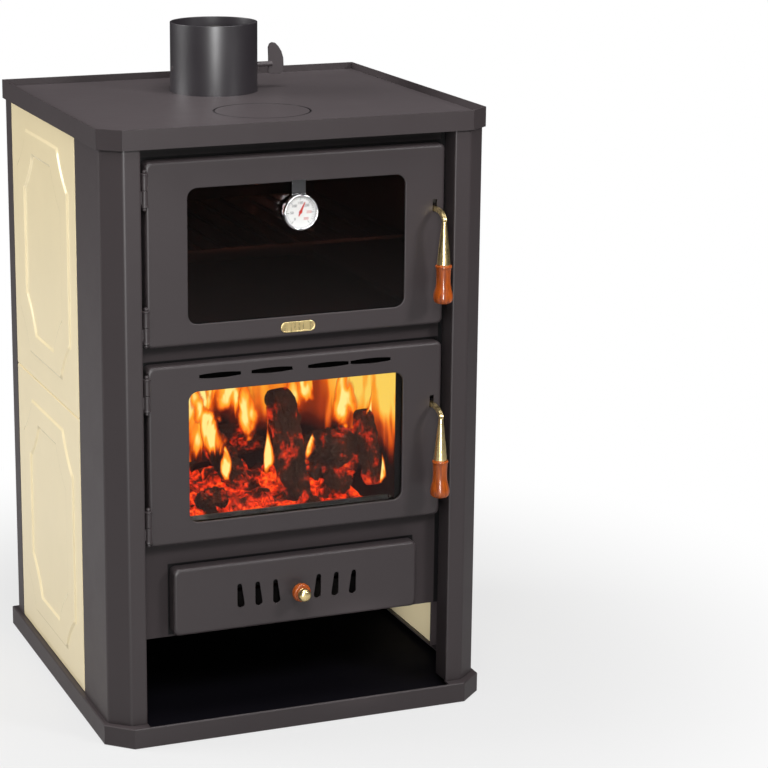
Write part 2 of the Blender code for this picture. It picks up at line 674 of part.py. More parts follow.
def make_oven():
    """Oven box behind its mouth, with pressed runners, and the rack on them."""
    back = SHELL_FRONT + OVEN_DEPTH
    outer_half = OVEN_HALF + OVEN_SHEET
    outer_rise = MOUTH_HALF_HEIGHT + OVEN_SHEET
    centre = (0, OVEN_DOOR_Z)

    def loop(half, rise, radius, level):
        return [place(p, "front", level) for p in rounded(half, rise, radius, centre)]

    loops = [loop(OVEN_HALF, MOUTH_HALF_HEIGHT, DOOR_CORNER, back - OVEN_SHEET),
             loop(OVEN_HALF, MOUTH_HALF_HEIGHT, DOOR_CORNER, SHELL_FRONT),
             loop(outer_half, outer_rise, DOOR_CORNER + OVEN_SHEET, SHELL_FRONT),
             loop(outer_half, outer_rise, DOOR_CORNER + OVEN_SHEET, back)]
    box = skin("oven_box", loops, "oven_enamel")
    runner_z = OVEN_DOOR_Z + RUNNER_RISE
    for side in (-1, 1):
        wall = side * (OVEN_HALF + OVEN_SHEET / 2)
        inner = side * (OVEN_HALF - RUNNER_WIDE)
        runner = block(f"join_runner_{side + 1}",
                       (min(wall, inner), SHELL_FRONT + RUNNER_WIDE, runner_z - RUNNER_TALL),
                       (max(wall, inner), back - RUNNER_WIDE, runner_z))
        combine(box, runner, "UNION")
    half = OVEN_HALF - 3 * MM
    low = SHELL_FRONT + RUNNER_WIDE
    high = back - OVEN_SHEET - RUNNER_WIDE
    frame = 6 * MM
    pitch = (2 * half - frame) / RACK_BARS
    holes = []
    for index in range(RACK_BARS):
        start = -half + frame + index * pitch
        holes.append(rectangle((start, low + frame), (start + pitch - frame, high - frame)))
    outline = rectangle((-half, low), (half, high))
    slab("oven_rack", outline, "top", runner_z + GAP, runner_z + GAP + RACK_THICK, "raw_steel", holes)


def jacket_plan(outer, inner, front, back, inner_back):
    return [(-outer, front), (-inner, front), (-inner, inner_back), (inner, inner_back),
            (inner, front), (outer, front), (outer, back), (-outer, back)]


def make_jacket():
    """Hollow water jacket on three sides of the fire, open at its flow and return stubs."""
    wall = JACKET_WALL
    front = SHELL_FRONT + 8 * MM
    inner = JACKET_HALF - JACKET_SPACE
    inner_back = JACKET_BACK - JACKET_SPACE
    low = FLOOR_TOP + GAP
    jacket = slab("water_jacket", jacket_plan(JACKET_HALF, inner, front, JACKET_BACK, inner_back), "top",
                  low, JACKET_TOP, "raw_steel")
    space = slab("cut_water_space", jacket_plan(JACKET_HALF - wall, inner + wall, front + wall,
                                               JACKET_BACK - wall, inner_back + wall),
                 "top", low + wall, JACKET_TOP - wall, None)
    combine(jacket, space, "DIFFERENCE")
    bore = STUB_RADIUS - STUB_WALL
    for side, (across, up) in {"flow": FLOW_AT, "return": RETURN_AT}.items():
        round_cutter(jacket, f"cut_jacket_{side}", bore, (across, JACKET_BACK - 2 * wall, up),
                     (across, JACKET_BACK + wall, up))
        start = JACKET_BACK + GAP
        profile = [(STUB_RADIUS, STUB_REACH), (STUB_RADIUS, start), (bore, start), (bore, STUB_REACH)]
        turned(f"{side}_stub", profile, (across, 0, up), (0, 1, 0), "raw_steel", 24, closed=True)


def make_firebox():
    """Hearth plate between the jacket's walls, with the grate, the log guard and the baffle."""
    inner = JACKET_HALF - JACKET_SPACE - GAP
    front = SHELL_FRONT + 8 * MM
    rear = JACKET_BACK - JACKET_SPACE - GAP
    top = HEARTH_Z + HEARTH_THICK
    ledge = GRATE_LEDGE
    hole = rectangle((-GRATE_WIDTH / 2 + ledge, GRATE_Y - GRATE_LENGTH / 2 + ledge),
                     (GRATE_WIDTH / 2 - ledge, GRATE_Y + GRATE_LENGTH / 2 - ledge))
    slab("hearth_plate", rectangle((-inner, front), (inner, rear)), "top", HEARTH_Z, top, "cast_iron", [hole])
    low = top + GAP
    bar = 9 * MM
    pitch = (GRATE_WIDTH - 2 * ledge - bar) / GRATE_SLOTS
    slots = []
    for index in range(GRATE_SLOTS):
        middle = -GRATE_WIDTH / 2 + ledge + bar / 2 + (index + 0.5) * pitch
        slots.append(rounded((pitch - bar) / 2, GRATE_LENGTH / 2 - 2 * ledge, (pitch - bar) / 2.2,
                             (middle, GRATE_Y), 1))
    outline = rounded(GRATE_WIDTH / 2, GRATE_LENGTH / 2, ledge, (0, GRATE_Y))
    slab("grate", outline, "top", low, low + GRATE_THICK, "cast_iron", slots)
    guard = [(front, low), (front + 4 * GRATE_LEDGE, low), (front + 4 * GRATE_LEDGE, low + HEARTH_THICK),
             (front + HEARTH_THICK, low + HEARTH_THICK), (front + HEARTH_THICK, low + GUARD_HEIGHT),
             (front, low + GUARD_HEIGHT)]
    slab("log_guard", guard, "side", -inner + ledge, inner - ledge, "cast_iron")
    baffle_half = JACKET_HALF - GRATE_LEDGE
    baffle_low = JACKET_TOP + GAP
    slab("baffle_plate", rectangle((-baffle_half, front), (baffle_half, BAFFLE_BACK)), "top",
         baffle_low, baffle_low + BAFFLE_THICK, "cast_iron")


def make_fixed_hinge(name, low):
    """Lower half of a hinge: finial, barrel and pin, with a leaf on the pillar's return."""
    ring = HINGE_RING
    body = HINGE_RADIUS
    split = HINGE_SPLIT - GAP / 2
    pin_end = HINGE_LENGTH - 8 * MM
    profile = [(0, 0), (2.6 * MM, 0.8 * MM), (3.6 * MM, 2.6 * MM), (3 * MM, 4.6 * MM), (ring, 5.2 * MM),
               (ring, 7.6 * MM), (body, 8.2 * MM), (body, split), (HINGE_PIN, split),
               (HINGE_PIN, pin_end), (0, pin_end)]
    centre = (HINGE_AXIS_X, HINGE_Y, low)
    hinge = turned(name, profile, centre, (0, 0, 1), "body_paint", 12)
    wall = -OPENING_HALF + GAP
    leaf = block(f"join_{name}", (wall, HINGE_Y - 2 * MM, low + 10 * MM),
                 (wall + HINGE_LEAF, HINGE_Y + 16 * MM, low + HINGE_SPLIT - 2 * MM))
    return combine(hinge, leaf, "UNION")


def make_moving_hinge(name, low, origin):
    """Upper half of a hinge: a blind bore over the pin, with a leaf on the door's edge."""
    ring = HINGE_RING
    body = HINGE_RADIUS
    bore = HINGE_PIN + GAP
    top = HINGE_LENGTH
    profile = [(0, top - 7 * MM), (bore, top - 7 * MM), (bore, HINGE_SPLIT + GAP / 2),
               (body, HINGE_SPLIT + GAP / 2), (body, top - 8.2 * MM), (ring, top - 7.6 * MM),
               (ring, top - 5.2 * MM), (3 * MM, top - 4.6 * MM), (3.6 * MM, top - 2.6 * MM),
               (2.6 * MM, top - 0.8 * MM), (0, top)]
    hinge = turned(name, profile, (HINGE_AXIS_X, HINGE_Y, low), (0, 0, 1), "body_paint", 12, origin=origin)
    edge = -DOOR_WIDTH / 2 - GAP
    leaf = block(f"join_{name}", (edge - HINGE_LEAF, HINGE_Y + 3.4 * MM, low + HINGE_SPLIT + 2 * MM),
                 (edge, HINGE_Y + 18 * MM, low + HINGE_LENGTH - 10 * MM))
    return combine(hinge, leaf, "UNION")


def make_door(name, centre_z, pane_finish):
    """Pressed door panel with its window, the pane, the liner that clamps it, the seal and hinges."""
    origin = (HINGE_AXIS_X, HINGE_Y, centre_z)
    window_z = centre_z - WINDOW_DROP
    sheet = DOOR_SHEET

    def outer(shrink, level):
        half = DOOR_WIDTH / 2 - shrink
        rise = DOOR_HEIGHT / 2 - shrink
        return [place(p, "front", level) for p in rounded(half, rise, DOOR_CORNER, (0, centre_z))]

    def window(grow, level):
        half = WINDOW_WIDTH / 2 + grow
        rise = WINDOW_HEIGHT / 2 + grow
        return [place(p, "front", level) for p in rounded(half, rise, WINDOW_CORNER + grow, (0, window_z))]

    front = DOOR_FRONT
    soft = DOOR_EDGE
    loops = [outer(0, DOOR_BACK), outer(0, front + soft), outer(0.3 * soft, front + 0.3 * soft),
             outer(soft, front), window(WINDOW_EDGE, front), window(0, front + WINDOW_EDGE),
             window(0, front + sheet), outer(soft, front + sheet), outer(sheet, front + soft),
             outer(sheet, DOOR_BACK)]
    panel = skin(f"{name}_panel", loops, "body_paint", closed=True, origin=origin)
    pivot_z = centre_z + LEVER_RISE
    slot_half = LEVER_THICK / 2 + LEVER_PLAY
    for side in (-1, 1):
        near = HANDLE_X + side * slot_half
        far = near + side * EAR_THICK
        ear = block(f"join_{name}_ear_{side + 1}",
                    (min(near, far), front + 0.6 * sheet, pivot_z - EAR_HALF_HEIGHT),
                    (max(near, far), LINER_FRONT - GAP, pivot_z + EAR_HALF_HEIGHT))
        combine(panel, ear, "UNION")
    reach = slot_half + 2 * EAR_THICK
    round_cutter(panel, f"cut_{name}_pivot", PIVOT_RADIUS + GAP, (HANDLE_X - reach, PIVOT_Y, pivot_z),
                 (HANDLE_X + reach, PIVOT_Y, pivot_z), 16)
    box_cutter(panel, f"cut_{name}_slot", (HANDLE_X - slot_half, front - sheet, pivot_z - 3.8 * MM),
               (HANDLE_X + slot_half, front + 1.1 * sheet, pivot_z + 13.8 * MM))
    half = WINDOW_WIDTH / 2 + GLASS_LAP
    rise = WINDOW_HEIGHT / 2 + GLASS_LAP
    pane = rounded(half, rise, WINDOW_CORNER, (0, window_z))
    slab(f"{name}_glass", pane, "front", PANE_FRONT, PANE_BACK, pane_finish, origin=origin)
    clamp = GLASS_LAP - 2 * MM
    level = LINER_BACK
    side_play = sheet + GAP
    loops = [outer(side_play, level), outer(side_play, LINER_FRONT), window(clamp, LINER_FRONT),
             window(clamp, PANE_BACK + GAP), window(clamp - LINER_SHEET, PANE_BACK + GAP),
             window(clamp - LINER_SHEET, level)]
    liner = skin(f"{name}_liner", loops, "raw_steel", closed=True, origin=origin)
    cut_half = slot_half + 1.3 * MM
    box_cutter(liner, f"cut_{name}_liner", (HANDLE_X - cut_half, LINER_FRONT - MM, pivot_z - 10.5 * MM),
               (HANDLE_X + cut_half, LINER_BACK + MM, pivot_z + 6.5 * MM))

    def seal(grow, level):
        half = SEAL_CENTRE_X + grow
        rise = SEAL_CENTRE_Z + grow
        return [place(p, "front", level) for p in rounded(half, rise, 2 * DOOR_CORNER, (0, centre_z))]

    wide = SEAL_WIDTH / 2
    low = LINER_BACK + GAP
    high = FRONT_Y - GAP
    middle = (low + high) / 2
    loops = [seal(wide, middle), seal(0.7 * wide, low), seal(-0.7 * wide, low), seal(-wide, middle),
             seal(-0.7 * wide, high), seal(0.7 * wide, high)]
    skin(f"{name}_seal", loops, "seal_rope", closed=True, origin=origin)
    for word, rise in zip(("upper", "lower"), HINGE_RISES):
        low = centre_z + rise - HINGE_LENGTH / 2
        make_fixed_hinge(f"{name}_{word}_hinge_pin", low)
        make_moving_hinge(f"{name}_{word}_hinge", low, origin)
    return panel


def cut_air_slots(panel):
    """Row of four long air slots above the fire door's window."""
    for index, across in enumerate(SLOT_SPACING):
        middle = (across, FIRE_DOOR_Z + SLOT_RISE)
        outline = rounded(SLOT_LENGTH / 2, SLOT_HEIGHT / 2, 0.4 * SLOT_HEIGHT, middle, 2)
        tool = slab(f"cut_air_slot_{index}", outline, "front", DOOR_FRONT - DOOR_SHEET,
                    DOOR_FRONT + 1.1 * DOOR_SHEET, None)
        combine(panel, tool, "DIFFERENCE")


def make_handle(name, centre_z):
    """Door lever with its nose and pivot, the brass cone and the wood grip hung on its rod."""
    pivot_z = centre_z + LEVER_RISE
    origin = (HANDLE_X, PIVOT_Y, pivot_z)
    cone_top = pivot_z - CONE_DROP
    run = HANDLE_Y - PIVOT_Y
    tip = PIVOT_Y + LEVER_NOSE
    path = [(tip, pivot_z), (PIVOT_Y, pivot_z), (PIVOT_Y + 0.45 * run, pivot_z + MM),
            (PIVOT_Y + 0.68 * run, pivot_z - 0.5 * MM), (PIVOT_Y + 0.88 * run, pivot_z - 4 * MM),
            (HANDLE_Y, pivot_z - LEVER_DROP), (HANDLE_Y, cone_top + GAP)]
    half = LEVER_THICK / 2
    outline = folded(moved_right(path, -LEVER_DEEP / 2), LEVER_DEEP)
    lever = slab(f"{name}_lever", outline, "side", HANDLE_X - half, HANDLE_X + half, "brass", origin=origin)
    tooth = block(f"join_{name}_tooth", (HANDLE_X - half, tip - TOOTH_LENGTH, pivot_z),
                  (HANDLE_X + half, tip, pivot_z + TOOTH_RISE))
    combine(lever, tooth, "UNION")
    pin_half = half + LEVER_PLAY + EAR_THICK - 0.1 * MM
    pin = turned(f"join_{name}_pin", [(PIVOT_RADIUS, -pin_half), (PIVOT_RADIUS, pin_half)],
                 (HANDLE_X, PIVOT_Y, pivot_z), (1, 0, 0), None, 16)
    combine(lever, pin, "UNION")
    grip_top = cone_top - CONE_LENGTH - GAP
    rod_end = grip_top - 0.6 * GRIP_LENGTH
    rod = turned(f"join_{name}_rod", [(ROD_RADIUS, rod_end), (ROD_RADIUS, cone_top + 2 * MM)],
                 (HANDLE_X, HANDLE_Y, 0), (0, 0, 1), None, 12)
    combine(lever, rod, "UNION")
    bore = ROD_RADIUS + BORE_PLAY
    low = cone_top - CONE_LENGTH
    cone = [(bore, cone_top), (CONE_TOP_RADIUS, cone_top), (0.43 * CONE_RADIUS, cone_top - 0.13 * CONE_LENGTH),
            (0.67 * CONE_RADIUS, low + 0.55 * CONE_LENGTH), (0.87 * CONE_RADIUS, low + 0.25 * CONE_LENGTH),
            (CONE_RADIUS, low + MM), (CONE_RADIUS, low), (bore, low)]
    turned(f"{name}_cone", cone, (HANDLE_X, HANDLE_Y, 0), (0, 0, 1), "brass", 18, closed=True, origin=origin)
    full = GRIP_RADIUS
    shares = [(0.81, 0), (0.83, 0.07), (0.76, 0.12), (0.73, 0.24), (0.73, 0.45), (0.81, 0.6), (0.94, 0.73),
              (1, 0.83), (0.95, 0.92), (0.74, 0.975), (0.4, 1)]
    grip = [(0, rod_end - 0.5 * MM), (bore, rod_end - 0.5 * MM), (bore, grip_top)]
    grip += [(full * wide, grip_top - GRIP_LENGTH * down) for wide, down in shares]
    grip.append((0, grip_top - GRIP_LENGTH))
    turned(f"{name}_grip", grip, (HANDLE_X, HANDLE_Y, 0), (0, 0, 1), "lacquered_wood", 18, origin=origin)
    lip = pivot_z + CATCH_RISE
    near = FRONT_BACK + GAP
    catch = folded([(near + CATCH_SHELF, lip), (near, lip), (near, lip + CATCH_LEAF)], CATCH_SHEET)
    slab(f"{name}_catch", catch, "side", HANDLE_X - CATCH_WIDTH / 2, HANDLE_X + CATCH_WIDTH / 2, "raw_steel")


def make_thermometer():
    """Round dial that hangs in the oven window: case with its strip, face and needle."""
    spot = (0, 0, DIAL_Z)
    origin = (HINGE_AXIS_X, HINGE_Y, OVEN_DOOR_Z)
    rim = DIAL_RADIUS
    inside = rim - 2.8 * MM
    floor = CASE_BACK - 0.5 * DIAL_DEPTH
    profile = [(0, -CASE_BACK), (rim - MM, -CASE_BACK), (rim, MM - CASE_BACK),
               (rim, -CASE_FRONT - 1.5 * MM), (rim - 0.8 * MM, -CASE_FRONT),
               (inside + 0.5 * MM, -CASE_FRONT), (inside, -CASE_FRONT - 1.5 * MM),
               (inside, -floor), (0, -floor)]
    case = turned("thermometer_case", profile, spot, (0, -1, 0), "chrome", 32, origin=origin)
    top = OVEN_DOOR_Z - WINDOW_DROP + WINDOW_HEIGHT / 2 + 2.5 * MM
    strip = block("join_clip", (-CLIP_WIDTH / 2, CASE_BACK - MM, DIAL_Z + 0.7 * rim),
                  (CLIP_WIDTH / 2, DOOR_FRONT - GAP, top))
    combine(case, strip, "UNION")
    face_back = floor - GAP
    face_front = face_back - 0.8 * MM
    turned("thermometer_face", [(inside - GAP, -face_back), (inside - GAP, -face_front)], spot, (0, -1, 0),
           "dial_white", 32, origin=origin)
    lean = math.radians(NEEDLE_LEAN)
    shape = [(-0.5, -6), (0.5, -6), (0.7, -2.4), (2, -1), (2, 1), (1.2, 2.6), (0.3, 15), (-0.3, 15),
             (-1.2, 2.6), (-2, 1), (-2, -1), (-0.7, -2.4)]
    stretch = NEEDLE_LENGTH / 15
    outline = []
    for across, up in shape:
        across *= MM
        up *= stretch
        outline.append((across * math.cos(lean) + up * math.sin(lean),
                        DIAL_Z + up * math.cos(lean) - across * math.sin(lean)))
    low = face_front - GAP
    slab("thermometer_needle", outline, "front", low - 1.2 * MM, low, "needle_red", origin=(0, low, DIAL_Z))


def make_brass_plate():
    """Small brass plate with a raised rim under the oven window."""
    origin = (HINGE_AXIS_X, HINGE_Y, OVEN_DOOR_Z)
    back = DOOR_FRONT - GAP
    front = back - 1.6 * MM
    section = [(0, back), (0, front + 0.5 * MM), (0.5 * MM, front), (1.5 * MM, front),
               (1.9 * MM, front + 0.5 * MM)]
    loops = []
    for shrink, level in section:
        half = BRASS_PLATE_WIDTH / 2 - shrink
        rise = BRASS_PLATE_HEIGHT / 2 - shrink
        loops.append([place(p, "front", level) for p in rounded(half, rise, rise * 0.98, (0, BRASS_PLATE_Z))])
    skin("brass_plate", loops, "brass", origin=origin)


def fan_slot(across, lean):
    """Upright air slot, narrow and round at the top and wide below, with one straight side."""
    top = FAN_TOP_WIDTH / 2
    low = FAN_LOW_WIDTH / 2
    rise = FAN_HEIGHT / 2
    shift = lean * (low - top)
    points = []
    for step in range(5):
        angle = math.pi * step / 4
        points.append((across - shift + top * math.cos(angle), DRAWER_Z + rise - top + top * math.sin(angle)))
    for step in range(5):
        angle = math.pi + math.pi * step / 4
        points.append((across + low * math.cos(angle), DRAWER_Z - rise + low + low * math.sin(angle)))
    return points


def make_drawer():
    """Drawer front with its fan of air slots, the ash pan and the knob."""
    origin = (0, FRONT_Y, DRAWER_Z)
    half = DRAWER_WIDTH / 2
    rise = (DRAWER_TOP - DRAWER_BOTTOM) / 2
    sheet = DOOR_SHEET
    soft = DOOR_EDGE
    front = DOOR_FRONT

    def loop(shrink, level):
        corner = DOOR_CORNER
        return [place(p, "front", level) for p in rounded(half - shrink, rise - shrink, corner, (0, DRAWER_Z))]

    loops = [loop(soft, front + sheet), loop(sheet, front + soft), loop(sheet, DOOR_BACK), loop(0, DOOR_BACK),
             loop(0, front + soft), loop(0.3 * soft, front + 0.3 * soft), loop(soft, front)]
    panel = skin("drawer_front", loops, "body_paint", origin=origin)
    for side in (-1, 1):
        for index, offset in enumerate(FAN_OFFSETS):
            tool = slab(f"cut_fan_{side + 1}_{index}", fan_slot(side * offset, side * -1), "front",
                        front - sheet, front + 1.5 * sheet, None)
            combine(panel, tool, "DIFFERENCE")
    round_cutter(panel, "cut_knob", ROD_RADIUS + BORE_PLAY, (0, front - sheet, DRAWER_Z),
                 (0, front + 2 * sheet, DRAWER_Z), 12)
    thin = PAN_SHEET
    pan_front = DOOR_BACK + GAP
    pan_back = pan_front + PAN_LENGTH

    def pan_loop(shrink, level):
        outline = rectangle((shrink - PAN_HALF, pan_front + shrink), (PAN_HALF - shrink, pan_back - shrink))
        return [place(p, "top", level) for p in outline]

    loops = [pan_loop(thin, PAN_BOTTOM + thin), pan_loop(thin, PAN_TOP), pan_loop(0, PAN_TOP),
             pan_loop(0, PAN_BOTTOM)]
    skin("ash_pan", loops, "raw_steel", origin=origin)
    make_knob(origin)


def make_knob(origin):
    """Brass spindle through the drawer front, with the wood ring held on it by a domed end."""
    axis = (0, DOOR_FRONT, DRAWER_Z)
    rod = ROD_RADIUS
    ring_start = KNOB_RING_START
    ring_end = KNOB_RING_END
    nut = DOOR_SHEET + GAP
    ball = KNOB_BALL_RADIUS
    profile = [(0, -nut - 4 * MM), (5 * MM, -nut - 4 * MM), (5 * MM, -nut), (rod, -nut), (rod, GAP),
               (6 * MM, GAP), (6 * MM, 2 * MM), (3.4 * MM, 3 * MM), (3.4 * MM, 4.5 * MM), (5.8 * MM, 7 * MM),
               (5.8 * MM, 9 * MM), (3.4 * MM, ring_start - GAP), (rod, ring_start - GAP), (rod, ring_end + GAP),
               (0.8 * ball, ring_end + GAP), (ball, ring_end + 3 * MM), (0.95 * ball, ring_end + 7 * MM),
               (0.7 * ball, KNOB_REACH - 3 * MM), (0.35 * ball, KNOB_REACH - 0.6 * MM), (0, KNOB_REACH)]
    turned("knob_spindle", profile, axis, (0, -1, 0), "brass", 14, origin=origin)
    wide = KNOB_RING_RADIUS
    bore = rod + BORE_PLAY
    profile = [(bore, ring_start), (0.8 * wide, ring_start), (0.96 * wide, ring_start + 2 * MM),
               (wide, ring_start + 5 * MM), (0.95 * wide, ring_end - 2 * MM), (0.78 * wide, ring_end),
               (bore, ring_end)]
    turned("knob_ring", profile, axis, (0, -1, 0), "lacquered_wood", 18, closed=True, origin=origin)


def main():
    clear_scene()
    make_base()
    make_pillars()
    make_rear_casing()
    make_side_panels()
    make_top()
    make_flue()
    make_front_plate()
    make_carcass()
    make_oven()
    make_jacket()
    make_firebox()
    make_door("oven_door", OVEN_DOOR_Z, "dark_glass")
    fire_panel = make_door("fire_door", FIRE_DOOR_Z, "fire_glass")
    cut_air_slots(fire_panel)
    make_handle("oven_handle", OVEN_DOOR_Z)
    make_handle("fire_handle", FIRE_DOOR_Z)
    make_thermometer()
    make_brass_plate()
    make_drawer()


main()
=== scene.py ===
"""Looks of a wood-burning stove with an oven: an add-on's layout, run as a script.

Metres, +Z up. The doors face -Y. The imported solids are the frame, and each finer piece
made here stands where its solid stands.
"""

import math
import random

import bmesh
import bpy
from mathutils import Matrix, Vector, noise


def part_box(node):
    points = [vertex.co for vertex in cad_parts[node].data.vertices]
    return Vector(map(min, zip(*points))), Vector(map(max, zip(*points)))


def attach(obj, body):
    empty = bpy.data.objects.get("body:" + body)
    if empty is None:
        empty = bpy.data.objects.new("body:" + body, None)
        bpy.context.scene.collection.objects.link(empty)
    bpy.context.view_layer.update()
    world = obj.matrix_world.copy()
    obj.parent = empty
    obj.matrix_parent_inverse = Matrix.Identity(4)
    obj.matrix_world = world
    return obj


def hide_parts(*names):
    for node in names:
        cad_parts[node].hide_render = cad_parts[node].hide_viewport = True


bl_info = {
    "name": "Wood stove with oven",
    "version": (1, 0, 0),
    "blender": (4, 5, 0),
    "location": "3D View > Sidebar > Stove",
    "description": "Paint, enamel, brass, lacquered wood, glass and a burning fire for the stove",
    "category": "Object",
}

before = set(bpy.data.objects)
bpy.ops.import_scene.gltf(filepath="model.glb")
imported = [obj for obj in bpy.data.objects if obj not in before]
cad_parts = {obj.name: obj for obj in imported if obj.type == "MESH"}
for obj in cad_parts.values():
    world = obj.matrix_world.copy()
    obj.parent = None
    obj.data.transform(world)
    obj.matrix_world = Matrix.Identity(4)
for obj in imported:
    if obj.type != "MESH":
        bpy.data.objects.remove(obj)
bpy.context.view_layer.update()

MM = 0.001
GAP = 0.3 * MM
UP = (0, 0, 1)
FORWARD = (0, -1, 0)

# Body sheets
BODY_FRONT = -0.2585
BODY_SIDE = 0.281
BODY_LOW = 0.0293
BODY_HIGH = 0.8539
OPENING_HALF = 0.229
PILLAR_TAIL = 15 * MM
PILLAR_BACK = -0.1173
SHEET = 2 * MM
SHEET_BEND = 3 * MM

# Side panels: the moulding's sizes are width and height
PANEL_DEPTH = 0.345
PANEL_THICK = 8 * MM
PANEL_EDGE = 2.5 * MM
PANEL_JOINT = 0.441
MOULDING_PROUD = 2.5 * MM
MOULDING_SLOPE = 10 * MM
MOULDING_FOOT = (0.277, 0.340)
MOULDING_CREST = (0.203, 0.277)
CORNER_CUT = (50 * MM, 58 * MM)

# Doors and drawer, with the middles of their slots in millimetres
DOOR_BACK = -0.226
DOOR_FRONT = -0.246
DOOR_HALF = 0.220
DOOR_RISE = 0.129
DOOR_SHEET = 2.5 * MM
DOOR_SOFT = 5 * MM
DOOR_CORNER = 8 * MM
OVEN_Z = 0.6975
FIRE_Z = 0.413
DOORS = (("oven", OVEN_Z), ("fire", FIRE_Z))
WINDOW_HALF = 0.160
WINDOW_RISE = 0.0945
WINDOW_DROP = 5 * MM
WINDOW_CORNER = 14 * MM
AIR_SLOTS = (-114.5, -38, 46, 110)
SLOT_HALF = 3.2 * MM
LINER_FRONT = -0.2323
HINGE_X = -0.222
HINGE_Y = -0.250
HINGE_LENGTH = 57 * MM
LEVER_X = 0.205
LEVER_RISE = 37.5 * MM
PIVOT_Y = -0.2365
HANDLE_Y = -0.279
DRAWER_Z = 0.1975
DRAWER_HALF = 0.185
DRAWER_RISE = 49.5 * MM
FAN_SLOTS = (31, 58, 85)

# Top
FLUE_Y = 0.108
FLUE_RADIUS = 65 * MM
FLUE_WALL = 2.5 * MM
FLUE_TOP = 0.967
FLUE_TAIL = 0.845
COLLAR_RADIUS = 0.080
COLLAR_HIGH = 0.8567
COLLAR_LOW = 0.8542
LID_Y = -0.102
LID_EDGE = 68.7 * MM
PLATE_TOP = 0.864

# Dial and brass plate
DIAL_Z = 0.746
CASE_BACK = -0.2473
CASE_FRONT = -0.2593
DIAL_RADIUS = 25 * MM
FACE_FRONT = -0.2544
DIAL_START = -140
DIAL_SWEEP = 280
INK = 0.08 * MM
NUMBER_RADIUS = 12.6 * MM
BADGE_Z = 0.583
BADGE_HALF = 25.5 * MM
BADGE_RISE = 7.5 * MM

# Firebox: the bed of embers spans it, and the curtain of fire lines it
BED_HALF = 0.150
BED_FRONT = -0.176
BED_DEPTH = 0.350
BED_LOW = 0.284
BED_STEPS = 90
CURTAIN_RISE = 0.269

# Logs: start, end and radius of each, in millimetres
LOGS = (((-56, -165, 343), (-30, 60, 345), 20), ((38, -150, 296), (26, -88, 450), 23),
        ((66, -100, 352), (118, -165, 374), 34), ((92, -172, 322), (132, -90, 330), 20),
        ((-128, 40, 333), (122, 55, 345), 28), ((-128, -60, 330), (-60, 60, 378), 24),
        ((-122, -168, 316), (-76, -150, 318), 14), ((139, -190, 322), (141, -150, 425), 16))

# Flames: root, height, width and lean of each
FLAMES = (((-0.061, -0.150, 0.350), 0.178, 0.070, -0.045), ((-0.112, -0.130, 0.360), 0.170, 0.060, 0.000),
          ((-0.036, -0.140, 0.392), 0.135, 0.052, -0.010), ((-0.125, -0.050, 0.350), 0.195, 0.090, 0.004),
          ((-0.077, -0.172, 0.345), 0.065, 0.034, 0.002), ((-0.008, -0.160, 0.340), 0.090, 0.024, 0.006),
          ((0.048, -0.168, 0.356), 0.050, 0.022, 0.010), ((0.124, -0.125, 0.384), 0.150, 0.052, 0.010),
          ((0.146, -0.178, 0.384), 0.130, 0.034, 0.000), ((0.000, -0.015, 0.385), 0.160, 0.130, 0.010),
          ((0.075, -0.050, 0.395), 0.150, 0.120, -0.006), ((-0.070, 0.000, 0.370), 0.175, 0.120, 0.008),
          ((0.1475, -0.212, 0.325), 0.060, 0.012, 0.000))

# Finishes by slot or use, and the shader groups that they share
LOOKS = {}
GROUPS = {}

# Solids whose finish isn't the one of their slot; behind_doors paints shade into the front plate's gaps
SOLID_LOOKS = {"store_floor": "store_black", "carcass_floor": "store_black", "ash_pan": "sooty_steel",
               "fire_door_liner": "sooty_steel", "top_frame": "body_paint",
               "cooking_plate": "hob_paint", "front_plate": "behind_doors"}

# Camera
LENS = 115.215
LENS_SHIFT = (0.1461, -0.0574)
CAMERA_PLACE = (-1.1831, -3.344, 1.3944)
CAMERA_DOWN = 14.069
CAMERA_TURN = -20.274


# Outlines and meshes

def spot(point, plane, level):
    """A 2D point of a front, side or top view at a level of the third axis."""
    if plane == "front":
        return Vector((point[0], level, point[1]))
    if plane == "side":
        return Vector((level, point[0], point[1]))
    return Vector((point[0], point[1], level))


def spots(points, plane, level):
    return [spot(point, plane, level) for point in points]


def round_box(half, rise, radius, centre=(0, 0), steps=8):
    """Counter-clockwise rectangle with round corners."""
    points = []
    for side, up, start in ((1, 1, 0), (-1, 1, 90), (-1, -1, 180), (1, -1, 270)):
        for step in range(steps + 1):
            angle = math.radians(start + 90 * step / steps)
            points.append((centre[0] + side * (half - radius) + radius * math.cos(angle),
                           centre[1] + up * (rise - radius) + radius * math.sin(angle)))
    return points


def lens(half, rise, tip, centre, steps=12):
    """A slot that is highest in the middle and narrows towards its two ends."""
    upper = []
    for step in range(steps + 1):
        share = 2 * step / steps - 1
        upper.append((share * half, tip + (rise - tip) * (1 - share * share)))
    points = [(centre[0] + x, centre[1] - z) for x, z in upper]
    return points + [(centre[0] + x, centre[1] + z) for x, z in upper[::-1]]


def rounded_path(path, radius, steps=5, closed=False):
    """The path with an arc in place of each corner."""
    count = len(path)
    result = []
    for index, point in enumerate(path):
        if not closed and index in (0, count - 1):
            result.append(tuple(point))
            continue
        here = Vector(point)
        before = Vector(path[index - 1]) - here
        after = Vector(path[(index + 1) % count]) - here
        reach = min(radius, 0.45 * before.length, 0.45 * after.length)
        start = here + before.normalized() * reach
        end = here + after.normalized() * reach
        for step in range(steps + 1):
            share = step / steps
            bent = start.lerp(here, share).lerp(here.lerp(end, share), share)
            result.append(tuple(bent))
    return result


